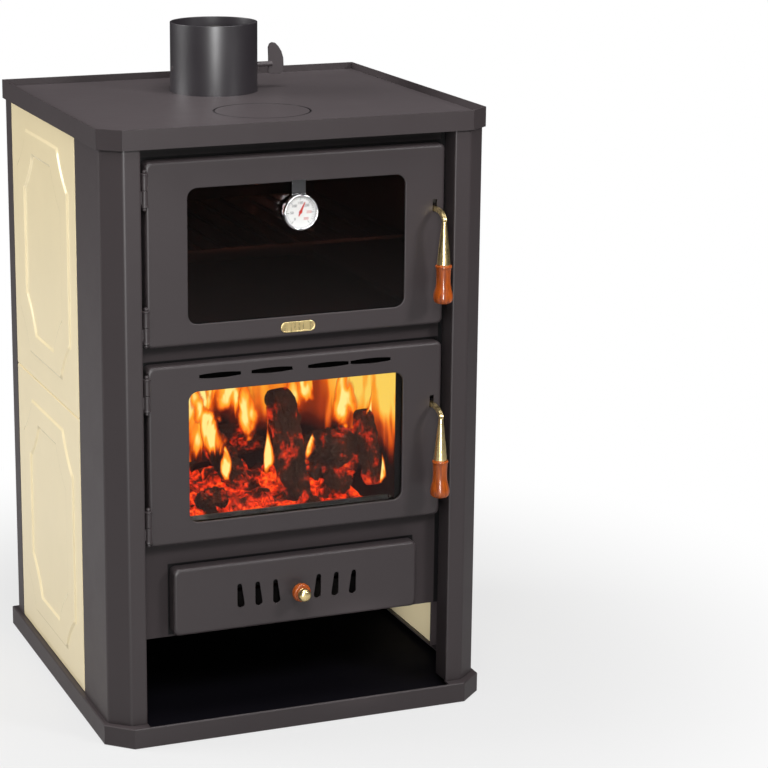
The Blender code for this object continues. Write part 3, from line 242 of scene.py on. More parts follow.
def beside(path, distance):
    """An open path moved sideways, to the right of its travel."""
    moved = []
    for index, point in enumerate(path):
        normals = []
        for first, second in ((index - 1, index), (index, index + 1)):
            if first < 0 or second >= len(path):
                continue
            run = Vector(path[second]) - Vector(path[first])
            if run.length > 1e-9:
                normals.append(Vector((run.y, -run.x)).normalized())
        one = normals[0]
        two = normals[-1]
        shift = (one + two) / (1 + one.dot(two)) * distance
        moved.append((point[0] + shift.x, point[1] + shift.y))
    return moved


def sheet_section(path, thickness, bend):
    soft = rounded_path(path, bend)
    return soft + beside(soft, thickness)[::-1]


def flip(outline):
    return [(-across, up) for across, up in reversed(outline)]


def plate(builder, outline, plane, low, high):
    """Adds a flat outline, thick from one level to another."""
    verts = [builder.verts.new(point) for point in spots(outline, plane, low)]
    edges = [builder.edges.new((verts[index - 1], vert)) for index, vert in enumerate(verts)]
    filled = bmesh.ops.triangle_fill(builder, edges=edges, use_beauty=True)
    faces = [item for item in filled["geom"] if isinstance(item, bmesh.types.BMFace)]
    grown = bmesh.ops.extrude_face_region(builder, geom=faces)
    moved = [item for item in grown["geom"] if isinstance(item, bmesh.types.BMVert)]
    bmesh.ops.translate(builder, verts=moved, vec=spot((0, 0), plane, high - low))


def loft(builder, loops, closed=False):
    """Adds faces between loops of equal length, made into a ring or capped."""
    rings = [[builder.verts.new(point) for point in loop] for loop in loops]
    count = len(rings[0])
    pairs = list(zip(rings, rings[1:]))
    if closed:
        pairs.append((rings[-1], rings[0]))
    for lower, upper in pairs:
        for index in range(count):
            after = (index + 1) % count
            builder.faces.new((lower[index], lower[after], upper[after], upper[index]))
    if not closed:
        builder.faces.new(rings[0][::-1])
        builder.faces.new(rings[-1])


def join_rows(builder, rows):
    """Adds the faces of an open sheet between rows of its points."""
    for lower, upper in zip(rows, rows[1:]):
        for index in range(len(lower) - 1):
            builder.faces.new((lower[index], lower[index + 1], upper[index + 1], upper[index]))


def turn_up(builder, profile, centre, axis, steps=64, closed=False):
    """Adds a turned piece: (radius, height) points spun about an axis."""
    turn = Vector(UP).rotation_difference(Vector(axis)).to_matrix()
    rings = []
    for radius, height in profile:
        if radius < 1e-7:
            rings.append([builder.verts.new(turn @ Vector((0, 0, height)) + Vector(centre))])
            continue
        ring = []
        for step in range(steps):
            angle = math.tau * step / steps
            point = Vector((radius * math.cos(angle), radius * math.sin(angle), height))
            ring.append(builder.verts.new(turn @ point + Vector(centre)))
        rings.append(ring)
    pairs = list(zip(rings, rings[1:]))
    if closed:
        pairs.append((rings[-1], rings[0]))
    for lower, upper in pairs:
        for step in range(steps):
            after = (step + 1) % steps
            corners = [lower[step % len(lower)], lower[after % len(lower)],
                       upper[after % len(upper)], upper[step % len(upper)]]
            builder.faces.new(list(dict.fromkeys(corners)))


def box_into(builder, low, high):
    outline = [(low[0], low[1]), (high[0], low[1]), (high[0], high[1]), (low[0], high[1])]
    plate(builder, outline, "top", low[2], high[2])


def put(name, data):
    """A new object, linked into the scene."""
    made = bpy.data.objects.new(name, data)
    bpy.context.scene.collection.objects.link(made)
    return made


def piece_from(builder, name, finish, sharp=40, outward=True):
    """Ends a mesh as a smooth object whose edges are sharp from an angle on."""
    if outward:
        bmesh.ops.recalc_face_normals(builder, faces=builder.faces)
    mesh = bpy.data.meshes.new(name)
    builder.to_mesh(mesh)
    builder.free()
    mesh.shade_smooth()
    mesh.set_sharp_from_angle(angle=math.radians(sharp))
    mesh.materials.append(LOOKS[finish])
    return put(name, mesh)


def turned_piece(name, finish, sharp, profile, centre, axis, steps=64, closed=False):
    """A turned mesh, ended as an object."""
    builder = bmesh.new()
    turn_up(builder, profile, centre, axis, steps, closed)
    return piece_from(builder, name, finish, sharp)


def shaped(thing):
    """The mesh that an object's modifiers or letters give."""
    bpy.context.view_layer.update()
    graph = bpy.context.evaluated_depsgraph_get()
    return bpy.data.meshes.new_from_object(thing.evaluated_get(graph))


def cut_holes(piece, tools):
    """Cuts the tools out of the piece and removes them."""
    for tool in tools:
        step = piece.modifiers.new("Cut", "BOOLEAN")
        step.operation = "DIFFERENCE"
        step.solver = "EXACT"
        step.object = tool
    cut = shaped(piece)
    piece.modifiers.clear()
    piece.data = cut
    for tool in tools:
        bpy.data.objects.remove(tool)
    cut.set_sharp_from_angle(angle=math.radians(40))


def seat(piece, body, slot, *replaced, flatten=True):
    """Gives the piece even normals and its body, and hides the solids that it stands for; the slot is not
    used.
    """
    if flatten:
        even = piece.modifiers.new("Even normals", "WEIGHTED_NORMAL")
        even.keep_sharp = True
        even.weight = 90
    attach(piece, body)
    if replaced:
        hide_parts(*replaced)


# Shader groups

def new_group(name, values, outputs):
    """A group with a vector, named values with their defaults, and named outputs."""
    group = bpy.data.node_groups.new(name, "ShaderNodeTree")
    group.interface.new_socket("Vector", in_out="INPUT", socket_type="NodeSocketVector")
    for label, value in values.items():
        made = group.interface.new_socket(label, in_out="INPUT", socket_type="NodeSocketFloat")
        made.default_value = value
    for label in outputs:
        group.interface.new_socket(label, in_out="OUTPUT", socket_type="NodeSocketFloat")
    entry = group.nodes.new("NodeGroupInput")
    leave = group.nodes.new("NodeGroupOutput")
    return group, entry.outputs, leave


def add_node(tree, kind, **settings):
    made = tree.nodes.new(kind)
    for key, value in settings.items():
        setattr(made, key, value)
    return made


def join(tree, value, socket):
    """Links a node's output to the socket, or sets the socket's own value."""
    if isinstance(value, bpy.types.NodeSocket):
        tree.links.new(value, socket)
    elif socket.type == "RGBA":
        socket.default_value = (*value, 1.0)
    else:
        socket.default_value = value


def fill(tree, node, **values):
    """Joins values to a node's inputs by their names, with _ for a space."""
    for key, value in values.items():
        join(tree, value, node.inputs[key.replace("_", " ")])


def noise_of(tree, source, scale, detail=3.0, roughness=0.5, output="Fac"):
    made = add_node(tree, "ShaderNodeTexNoise")
    fill(tree, made, Vector=source, Scale=scale, Detail=detail, Roughness=roughness)
    return made.outputs[output]


def span(tree, source, low, high, new_low, new_high, kind="LINEAR"):
    """Maps one range of a value to another and stops at its ends."""
    made = add_node(tree, "ShaderNodeMapRange", interpolation_type=kind)
    for index, value in enumerate((source, low, high, new_low, new_high)):
        join(tree, value, made.inputs[index])
    return made.outputs[0]


def ease(tree, source, low, high, new_low=0.0, new_high=1.0):
    return span(tree, source, low, high, new_low, new_high, "SMOOTHSTEP")


def maths(tree, operation, one, two=0.0):
    made = add_node(tree, "ShaderNodeMath", operation=operation)
    join(tree, one, made.inputs[0])
    join(tree, two, made.inputs[1])
    return made.outputs[0]


def plus(tree, one, two):
    return maths(tree, "ADD", one, two)


def minus(tree, one, two):
    return maths(tree, "SUBTRACT", one, two)


def times(tree, one, two):
    return maths(tree, "MULTIPLY", one, two)


def most(tree, one, two):
    return maths(tree, "MAXIMUM", one, two)


def off_from(tree, source, middle):
    return maths(tree, "ABSOLUTE", minus(tree, source, middle))


def blend_of(tree, share, one, two):
    made = add_node(tree, "ShaderNodeMix", data_type="RGBA")
    for index, value in ((0, share), (6, one), (7, two)):
        join(tree, value, made.inputs[index])
    return made.outputs[2]


def stretched(tree, scale=(1, 1, 1)):
    """Object coordinates, stretched along chosen axes."""
    where = add_node(tree, "ShaderNodeTexCoord")
    mapping = add_node(tree, "ShaderNodeMapping")
    fill(tree, mapping, Scale=scale, Vector=where.outputs["Object"])
    return mapping.outputs[0]


def paint_skin_group():
    """Sprayed or fired coating: a fine orange peel, a slow change of tone and rubbed patches."""
    group, entry, leave = new_group(
        "Coating", {"Peel Scale": 900.0, "Tone Scale": 5.0, "Tone Range": 0.1,
                    "Roughness": 0.4, "Roughness Range": 0.08},
        ("Tone", "Roughness", "Height"))
    vector = entry["Vector"]
    peel = noise_of(group, vector, entry["Peel Scale"], 2.0)
    slow = noise_of(group, vector, entry["Tone Scale"], 4.0, 0.6)
    swing = times(group, minus(group, slow, 0.5), entry["Tone Range"])
    fill(group, leave, Tone=plus(group, swing, 0.5))
    patch = noise_of(group, vector, times(group, entry["Tone Scale"], 3.0), 5.0, 0.65)
    rough = times(group, minus(group, patch, 0.5), entry["Roughness Range"])
    fill(group, leave, Roughness=plus(group, rough, entry["Roughness"]))
    fill(group, leave, Height=peel)
    return group


def streak_group():
    """Long fine lines along one axis: drawn or turned metal, or wood grain."""
    group, entry, leave = new_group(
        "Streaks", {"Scale": 60.0, "Contrast": 0.5},
        ("Mask", "Height"))
    broad = noise_of(group, entry["Vector"], entry["Scale"], 4.0, 0.6)
    fine = noise_of(group, entry["Vector"], times(group, entry["Scale"], 6.0), 3.0, 0.6)
    both = plus(group, times(group, broad, 0.65), times(group, fine, 0.35))
    low = times(group, entry["Contrast"], 0.5)
    high = minus(group, 1.0, low)
    fill(group, leave, Mask=ease(group, both, low, high), Height=both)
    return group


def soot_group():
    """Burnt and dusty surface: coarse pits, and ash in patches."""
    group, entry, leave = new_group(
        "Burnt", {"Pit Scale": 220.0, "Ash Scale": 12.0},
        ("Ash", "Height"))
    pits = noise_of(group, entry["Vector"], entry["Pit Scale"], 6.0, 0.7)
    ash = noise_of(group, entry["Vector"], entry["Ash Scale"], 8.0, 0.7)
    fill(group, leave, Ash=ease(group, ash, 0.45, 0.75), Height=pits)
    return group


def wisp_group():
    """Flame wisps: bright crests and dark gaps of an upward noise, bent by a slower one."""
    group, entry, leave = new_group(
        "Wisps", {"Scale": 17.0},
        ("Heat",))
    vector = entry["Vector"]
    slow = noise_of(group, vector, times(group, entry["Scale"], 0.5), 2.0, output="Color")
    bend = add_node(group, "ShaderNodeVectorMath", operation="SCALE")
    fill(group, bend, Scale=0.05)
    group.links.new(slow, bend.inputs[0])
    bent = add_node(group, "ShaderNodeVectorMath", operation="ADD")
    group.links.new(vector, bent.inputs[0])
    group.links.new(bend.outputs["Vector"], bent.inputs[1])
    fine = noise_of(group, bent.outputs["Vector"], entry["Scale"], 3.0, 0.5)
    broad = noise_of(group, bent.outputs["Vector"], times(group, entry["Scale"], 0.6), 2.0)
    ridge = off_from(group, fine, 0.5)
    crest = ease(group, ridge, 0.0, 0.13, 0.24, -0.12)
    body = times(group, minus(group, broad, 0.5), 1.9)
    fill(group, leave, Heat=plus(group, plus(group, crest, body), 0.5))
    return group


def glow_group():
    """Heat in burning wood: cracks between cells, inside slow warm patches."""
    group, entry, leave = new_group(
        "Glow", {"Scale": 60.0, "Low": 0.3, "High": 0.6},
        ("Heat", "Crust"))
    vector = entry["Vector"]
    scale = entry["Scale"]
    cells = add_node(group, "ShaderNodeTexVoronoi", feature="DISTANCE_TO_EDGE")
    fill(group, cells, Vector=vector, Scale=scale)
    crack = ease(group, cells.outputs["Distance"], 0.0, 0.3, 1.0, 0.0)
    patch = noise_of(group, vector, times(group, scale, 0.4), 3.0, 0.6)
    warm = ease(group, patch, entry["Low"], entry["High"])
    fine = noise_of(group, vector, times(group, scale, 3.0), 4.0, 0.6)
    both = plus(group, times(group, crack, 0.22), times(group, fine, 1.1))
    fill(group, leave, Heat=times(group, warm, both), Crust=fine)
    return group


def use_group(tree, name, vector, **values):
    """A shared group with its values, as outputs."""
    made = add_node(tree, "ShaderNodeGroup", node_tree=GROUPS[name])
    fill(tree, made, Vector=vector, **values)
    return made.outputs


def new_material(name):
    made = bpy.data.materials.new(name)
    made.use_nodes = True
    return made, made.node_tree, made.node_tree.nodes["Principled BSDF"]


def bump(tree, shader, height, strength, distance, soft_edge=0.0):
    """Relief from a height, with edges that look rounded where asked."""
    made = add_node(tree, "ShaderNodeBump")
    fill(tree, made, Strength=strength, Distance=distance, Height=height)
    if soft_edge:
        edge = add_node(tree, "ShaderNodeBevel", samples=4)
        fill(tree, edge, Radius=soft_edge)
        fill(tree, made, Normal=edge.outputs["Normal"])
    fill(tree, shader, Normal=made.outputs["Normal"])


def shade(colour, share):
    return tuple(share * value for value in colour)


def paint_over(tree, shader, colour, roughness, edge, tone_range=0.5, peel=0.12):
    """Sets a coating's roughness and relief, and gives its place and its colour."""
    where = stretched(tree)
    parts = use_group(tree, "coating", where, Tone_Range=tone_range, Roughness=roughness,
                      Roughness_Range=0.12)
    fill(tree, shader, Roughness=parts["Roughness"])
    bump(tree, shader, parts["Height"], peel, 0.2 * MM, edge)
    return where, blend_of(tree, parts["Tone"], shade(colour, 0.88), shade(colour, 1.12))


def coated(name, colour, roughness, edge, tone_range=0.5, peel=0.12, coat=0.0, level=0.5):
    """Painted or enamelled metal."""
    made, tree, shader = new_material(name)
    paint = paint_over(tree, shader, colour, roughness, edge, tone_range, peel)[1]
    fill(tree, shader, Base_Color=paint, Coat_Weight=coat, Coat_Roughness=0.08, Specular_IOR_Level=level)
    return made


def shaded_plate(name, colour, roughness):
    """Paint with painted shade: black beside the pillars and in thin bands around the doors and the drawer,
    where the gaps lie in shade.
    """
    made, tree, shader = new_material(name)
    where, paint = paint_over(tree, shader, colour, roughness, 0.9 * MM)
    axes = add_node(tree, "ShaderNodeSeparateXYZ")
    tree.links.new(where, axes.inputs[0])
    across = maths(tree, "ABSOLUTE", axes.outputs[0])
    fade = 1.2 * MM
    edge = DOOR_HALF + 1.5 * MM
    # Painted shade: black from just outside the doors' width outwards, where the gaps beside the pillars lie
    # in shade.
    gap_shade = span(tree, across, edge, edge + fade, 0.0, 1.0)
    # Painted shade: a thin black band around each door and the drawer, where the gap behind its edge lies in
    # shade.
    for half, rise, centre in ((DOOR_HALF, DOOR_RISE, OVEN_Z), (DOOR_HALF, DOOR_RISE, FIRE_Z),
                               (DRAWER_HALF, DRAWER_RISE, DRAWER_Z)):
        top = rise + 2.5 * MM
        side = half + 1.5 * MM
        level = span(tree, off_from(tree, axes.outputs[2], centre), top, top + fade, 1.0, 0.0)
        gap_shade = most(tree, gap_shade, times(tree, level, span(tree, across, side, side + fade, 1.0, 0.0)))
    # Colour of the painted shade in the gaps.
    black = (0.003, 0.0025, 0.003)
    fill(tree, shader, Base_Color=blend_of(tree, gap_shade, paint, black), Specular_IOR_Level=0.15)
    return made


def hob_plate(name, colour, roughness):
    """Paint of the cooking plate and its lid, with a dark ring along the round joint between them: painted
    shade of the gap, together with grime.
    """
    made, tree, shader = new_material(name)
    where, paint = paint_over(tree, shader, colour, roughness, 0.9 * MM)
    off = add_node(tree, "ShaderNodeVectorMath", operation="SUBTRACT")
    tree.links.new(where, off.inputs[0])
    off.inputs[1].default_value = (0.0, LID_Y, PLATE_TOP)
    away = add_node(tree, "ShaderNodeVectorMath", operation="LENGTH")
    tree.links.new(off.outputs["Vector"], away.inputs[0])
    # Painted shade with grime: a dark ring where the gap around the lid lies in shade.
    joint_shade_and_grime = ease(tree, off_from(tree, away.outputs["Value"], LID_EDGE), 0.6 * MM, 2.6 * MM, 0.85, 0.0)
    joint_dark = (0.006, 0.005, 0.006)
    fill(tree, shader, Base_Color=blend_of(tree, joint_shade_and_grime, paint, joint_dark), Specular_IOR_Level=0.4)
    return made


def polished(name, colour, dark, roughness, stretch):
    """Brass and chrome: turned or brushed, with a light tarnish."""
    made, tree, shader = new_material(name)
    lines = use_group(tree, "streaks", stretched(tree, stretch), Scale=40.0, Contrast=0.6)
    tarnish = use_group(tree, "burnt", stretched(tree), Pit_Scale=500.0, Ash_Scale=60.0)
    share = times(tree, tarnish["Ash"], 0.3)
    fill(tree, shader, Base_Color=blend_of(tree, share, colour, dark),
         Roughness=span(tree, lines["Mask"], 0, 1, 0.7 * roughness, 1.3 * roughness), Metallic=1.0)
    bump(tree, shader, lines["Height"], 0.015, 0.1 * MM, 0.3 * MM)
    return made


def burnt_metal(name, colour, ash, roughness, metallic, pits, level=0.5):
    """Steel or cast iron with pits and patches of ash."""
    made, tree, shader = new_material(name)
    parts = use_group(tree, "burnt", stretched(tree), Pit_Scale=260.0, Ash_Scale=14.0)
    fill(tree, shader, Base_Color=blend_of(tree, parts["Ash"], colour, ash),
         Roughness=span(tree, parts["Ash"], 0, 1, roughness, 0.9), Metallic=metallic,
         Specular_IOR_Level=level)
    bump(tree, shader, parts["Height"], pits, 0.4 * MM, 0.4 * MM)
    return made


def lacquered_wood(name, light, dark):
    """Turned wood with fine grain under clear lacquer."""
    made, tree, shader = new_material(name)
    grain = use_group(tree, "streaks", stretched(tree, (6, 6, 0.5)), Scale=45.0, Contrast=0.5)
    fill(tree, shader, Base_Color=blend_of(tree, grain["Mask"], dark, light),
         Roughness=span(tree, grain["Mask"], 0, 1, 0.42, 0.3), Coat_Weight=0.55, Coat_Roughness=0.09,
         Specular_IOR_Level=0.25)
    bump(tree, shader, grain["Height"], 0.08, 0.2 * MM)
    return made


def pane(name, colour, level, smears, bend=1.2):
    """Heat-proof glass with faint smears."""
    made, tree, shader = new_material(name)
    smear = noise_of(tree, stretched(tree), 9.0, 6.0, 0.7)
    fill(tree, shader, Roughness=span(tree, smear, 0.3, 0.8, 0.0, smears), Base_Color=colour,
         Transmission_Weight=1.0, IOR=bend, Specular_IOR_Level=level)
    return made


def rope(name, colour):
    """Woven rope of the door seals."""
    made, tree, shader = new_material(name)
    weave = add_node(tree, "ShaderNodeTexWave", wave_type="BANDS", bands_direction="DIAGONAL")
    fill(tree, weave, Scale=180.0, Distortion=2.0, Vector=stretched(tree))
    fill(tree, shader, Base_Color=blend_of(tree, weave.outputs["Fac"], shade(colour, 0.6), colour),
         Roughness=0.9, Specular_IOR_Level=0.05)
    bump(tree, shader, weave.outputs["Fac"], 0.6, 0.5 * MM)
    return made


def ramp_of(tree, share, stops):
    made = add_node(tree, "ShaderNodeValToRGB")
    band = made.color_ramp
    while len(band.elements) < len(stops):
        band.elements.new(0.5)
    for element, (place, colour) in zip(band.elements, stops):
        element.position = place
        element.color = (*colour, 1.0)
    tree.links.new(share, made.inputs[0])
    return made.outputs["Color"]


def flame_material(name, strength):
    """A sheet of flame: wisps inside a soft outline, clear where they are cool."""
    made, tree, shader = new_material(name)
    wisps = use_group(tree, "wisps", stretched(tree, (1, 1, 0.3)), Scale=34.0)
    where = add_node(tree, "ShaderNodeTexCoord")
    parts = add_node(tree, "ShaderNodeSeparateXYZ")
    tree.links.new(where.outputs["UV"], parts.inputs[0])
    off = off_from(tree, parts.outputs[0], 0.5)
    middle = ease(tree, off, 0.0, 0.5, 0.44, -0.5)
    tip = ease(tree, parts.outputs[1], 0.3, 1.0, 0.0, -0.6)
    root = ease(tree, parts.outputs[1], 0.0, 0.26, -0.5, 0.0)
    shape = plus(tree, middle, plus(tree, tip, root))
    heat = plus(tree, wisps["Heat"], shape)
    colour = ramp_of(tree, heat, [(0.36, (0.20, 0.006, 0.001)), (0.52, (0.62, 0.045, 0.001)),
                                  (0.68, (1.0, 0.19, 0.006)), (0.86, (1.0, 0.44, 0.035)),
                                  (1.04, (1.0, 0.80, 0.26))])
    fill(tree, shader, Emission_Color=colour, Emission_Strength=strength, Base_Color=(0.0, 0.0, 0.0),
         Specular_IOR_Level=0.0, Alpha=ease(tree, heat, 0.34, 0.74))
    return made


def blaze_material(name, strength):
    """The curtain of fire behind the logs: wisps that brighten upwards over a dark red base."""
    made, tree, shader = new_material(name)
    where = stretched(tree, (1, 1, 0.34))
    wisps = use_group(tree, "wisps", where, Scale=17.0)
    parts = add_node(tree, "ShaderNodeSeparateXYZ")
    tree.links.new(where, parts.inputs[0])
    rise = ease(tree, parts.outputs[2], 0.104, 0.138, -0.2, 0.42)
    low = ease(tree, parts.outputs[2], 0.136, 0.154, -0.45, 0.0)
    beside_it = times(tree, span(tree, parts.outputs[0], 0.115, 0.145, 0.0, 1.0), low)
    heat = plus(tree, times(tree, wisps["Heat"], 0.7), plus(tree, rise, beside_it))
    colour = ramp_of(tree, heat, [(0.28, (0.006, 0.001, 0.001)), (0.4, (0.08, 0.005, 0.001)),
                                  (0.51, (0.38, 0.035, 0.002)), (0.62, (0.82, 0.13, 0.005)),
                                  (0.78, (1.0, 0.34, 0.02)), (0.98, (1.0, 0.66, 0.11))])
    fill(tree, shader, Emission_Color=colour, Emission_Strength=strength, Base_Color=(0.01, 0.006, 0.005),
         Specular_IOR_Level=0.0)
    return made


def ember_material(name, strength, low, high, scale):
    """Glowing wood: dark crust with red cracks and a few orange spots, and a faint painted glow of firelight
    over the whole crust.
    """
    made, tree, shader = new_material(name)
    glow = use_group(tree, "glow", stretched(tree), Scale=scale, Low=low, High=high)
    # The lowest stop gives even the cold crust a faint red glow: painted light of the fire falling on the
    # wood.
    colour = ramp_of(tree, glow["Heat"], [(0.0, (0.006, 0.001, 0.001)), (0.25, (0.05, 0.004, 0.001)),
                                          (0.48, (0.42, 0.012, 0.002)), (0.7, (0.92, 0.035, 0.003)),
                                          (0.95, (1.0, 0.17, 0.008))])
    fill(tree, shader, Emission_Color=colour, Emission_Strength=strength)
    crust = blend_of(tree, glow["Crust"], (0.004, 0.002, 0.002), (0.055, 0.024, 0.014))
    fill(tree, shader, Base_Color=crust, Roughness=0.95, Specular_IOR_Level=0.05)
    bump(tree, shader, glow["Crust"], 1.0, 3.0 * MM)
    return made


def build_looks(look):
    """Every finish of the stove, by the slot names of the solids and by their use."""
    GROUPS.update(coating=paint_skin_group(), streaks=streak_group(), burnt=soot_group(),
                  wisps=wisp_group(), glow=glow_group())
    body = tuple(look.body_colour)
    top = tuple(look.top_colour)
    brass = tuple(look.brass_colour)
    wood = tuple(look.wood_colour)
    satin = look.paint_roughness
    heat = look.flame_strength
    LOOKS.update({
        "body_paint": coated("anthracite_paint", body, satin, 0.9 * MM, level=0.36),
        "top_paint": coated("top_plate_paint", top, satin, 0.9 * MM, level=0.4),
        "behind_doors": shaded_plate("front_plate_paint", body, satin),
        "panel_enamel": coated("cream_enamel", tuple(look.panel_colour), 0.24, 0.5 * MM,
                               tone_range=0.4, peel=0.05, coat=0.4, level=0.4),
        "raw_steel": burnt_metal("heat_dark_steel", (0.09, 0.085, 0.08), (0.16, 0.14, 0.12), 0.45, 1.0,
                                 0.15),
        "cast_iron": burnt_metal("cast_iron_with_ash", (0.03, 0.03, 0.03), (0.18, 0.17, 0.16), 0.7, 0.4,
                                 0.5),
        "oven_enamel": coated("black_oven_enamel", (0.02, 0.02, 0.022), 0.3, 0.5 * MM, peel=0.2),
        "dark_glass": pane("dark_oven_glass", (0.42, 0.24, 0.20), 0.5, 0.08, 1.33),
        "fire_glass": pane("clear_fire_glass", (0.97, 0.96, 0.93), 0.08, 0.02),
        "seal_rope": rope("seal_rope_weave", (0.018, 0.017, 0.016)),
        "brass": polished("polished_brass", brass, (0.45, 0.30, 0.08), 0.3, (8, 8, 1)),
        "lacquered_wood": lacquered_wood("orange_lacquered_wood", wood, (0.20, 0.030, 0.003)),
        "chrome": polished("polished_chrome", (0.82, 0.82, 0.84), (0.5, 0.5, 0.52), 0.1, (1, 8, 1)),
        "dial_white": coated("dial_enamel", (0.86, 0.86, 0.84), 0.35, 0.1 * MM, tone_range=0.05, peel=0.02),
        "needle_red": coated("needle_lacquer", (0.62, 0.03, 0.02), 0.35, 0.1 * MM, peel=0.02),
        # Near-black paint for the floors inside the wood store, far darker than the body paint.
        "store_black": coated("near_black_store_paint", (0.0035, 0.003, 0.005), 0.7, 0.9 * MM, peel=0.2,
                              level=0.05),
        "sooty_steel": burnt_metal("sooty_steel", (0.006, 0.005, 0.005), (0.022, 0.019, 0.017), 0.8, 0.0,
                                   0.3,
                                   level=0.04),
        "flue_paint": coated("flue_paint", (0.024, 0.020, 0.024), 0.4, 0.5 * MM, level=0.75),
        "hob_paint": hob_plate("hob_plate_paint", top, satin),
        "dial_ink": coated("dial_ink", (0.05, 0.05, 0.06), 0.5, 0.1 * MM, peel=0.02),
        "flame": flame_material("flame_tongue", 1.1 * heat),
        "blaze": blaze_material("blaze_curtain", heat),
        "embers": ember_material("ember_bed", 1.1 * heat, 0.34, 0.6, 80.0),
        "charred": ember_material("charred_log", 0.8 * heat, 0.45, 0.72, 85.0),
    })


def dress_solids():
    """Puts the fine finishes on the solids that stay as they are."""
    for node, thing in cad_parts.items():
        for slot in thing.material_slots:
            name = slot.material.name.split(".")[0] if slot.material else ""
            name = SOLID_LOOKS.get(node, name)
            if name in LOOKS:
                slot.material = LOOKS[name]


# Body

def body_sheets():
    """Front pillars with true bend radii."""
    places = [vert.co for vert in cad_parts["front_left_pillar"].data.vertices]
    front = min(place.x for place in places if place.y < BODY_FRONT + 0.1 * MM)
    side = min(place.y for place in places if place.x < -BODY_SIDE + 0.1 * MM)
    path = [(-OPENING_HALF, DOOR_BACK + 3 * MM), (-OPENING_HALF, BODY_FRONT), (front, BODY_FRONT),
            (-BODY_SIDE, side), (-BODY_SIDE, PILLAR_BACK), (-BODY_SIDE + PILLAR_TAIL, PILLAR_BACK)]
    section = sheet_section(path, SHEET, SHEET_BEND)
    for name, outline in (("left", section), ("right", flip(section))):
        builder = bmesh.new()
        plate(builder, outline, "top", BODY_LOW, BODY_HIGH)
        piece = piece_from(builder, f"{name}_pillar_sheet", "body_paint")
        seat(piece, "root", "body_paint", f"front_{name}_pillar")


def panel_loops(side, low, high):
    """Loops of one enamelled panel, from its back to the field inside the moulding."""
    front_y = PILLAR_BACK + GAP
    half = PANEL_DEPTH / 2
    rise = (high - low) / 2
    centre = (front_y + half, (low + high) / 2)
    thick = PANEL_THICK
    edge = PANEL_EDGE

    def loop(points, proud):
        level = side * (BODY_SIDE - thick + proud)
        return [spot((centre[0] + p[0], centre[1] + p[1]), "side", level) for p in points]

    def band(width, height):
        points = []
        cut_x, cut_z = CORNER_CUT
        for across, up in ((1, 1), (-1, 1), (-1, -1), (1, -1)):
            start = Vector((across * width / 2, up * (height / 2 - cut_z)))
            end = Vector((across * (width / 2 - cut_x), up * height / 2))
            if across * up < 0:
                start, end = end, start
            hollow = Vector((-across * cut_z, -up * cut_x)).normalized() * 5 * MM
            for step in range(9):
                share = step / 8
                point = start.lerp(end, share) + hollow * 4 * share * (1 - share)
                points.append((point.x, point.y))
        return points

    loops = [loop(round_box(half, rise, edge), 0)]
    for step in range(5):
        angle = math.radians(90 * step / 4)
        shrink = edge * (1 - math.cos(angle))
        loops.append(loop(round_box(half - shrink, rise - shrink, edge),
                          thick - edge + edge * math.sin(angle)))
    for size, way in ((MOULDING_FOOT, 1), (MOULDING_CREST, -1)):
        for step in range(7):
            share = step / 6
            lift = MOULDING_PROUD * (0.5 - 0.5 * math.cos(math.pi * share))
            if way < 0:
                lift = MOULDING_PROUD - lift
            width, height = (length - MOULDING_SLOPE * share for length in size)
            loops.append(loop(band(width, height), thick + lift))
    return loops


def side_panels():
    """Two enamelled panels on each side."""
    for side, word in ((-1, "left"), (1, "right")):
        for part, low, high in (("lower", BODY_LOW, PANEL_JOINT - GAP / 2),
                                ("upper", PANEL_JOINT + GAP / 2, BODY_HIGH)):
            builder = bmesh.new()
            loft(builder, panel_loops(side, low, high))
            piece = piece_from(builder, f"{word}_{part}_enamel_panel", "panel_enamel", 50)
            seat(piece, "root", "panel_enamel", f"{word}_{part}_panel")


def top_pieces():
    """Flue spigot and hob lid with fine round edges."""
    inner = FLUE_RADIUS - FLUE_WALL
    corners = [(FLUE_RADIUS, FLUE_TOP), (FLUE_RADIUS, COLLAR_HIGH), (COLLAR_RADIUS, COLLAR_HIGH),
               (COLLAR_RADIUS, COLLAR_LOW), (FLUE_RADIUS, COLLAR_LOW), (FLUE_RADIUS, FLUE_TAIL),
               (inner, FLUE_TAIL), (inner, FLUE_TOP)]
    profile = rounded_path(corners, 0.8 * MM, 3, closed=True)
    spigot = turned_piece("flue_spigot_turned", "flue_paint", 40, profile, (0, FLUE_Y, 0), UP, 96,
                          closed=True)
    seat(spigot, "root", "top_paint", "flue_spigot")
    low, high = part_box("hob_lid")
    edge = (high.x - low.x) / 2
    lid_low = low.z
    profile = [(0, lid_low), (edge - 0.3 * MM, lid_low), (edge, lid_low + 0.3 * MM),
               (edge, PLATE_TOP - 1.5 * MM),
               (edge - 0.4 * MM, PLATE_TOP - 0.5 * MM), (edge - 1.4 * MM, PLATE_TOP), (0, PLATE_TOP)]
    lid = turned_piece("hob_lid_turned", "hob_paint", 40, profile, (0, LID_Y, 0), UP, 96)
    seat(lid, "lid", "top_paint", "hob_lid")


# Doors and drawer

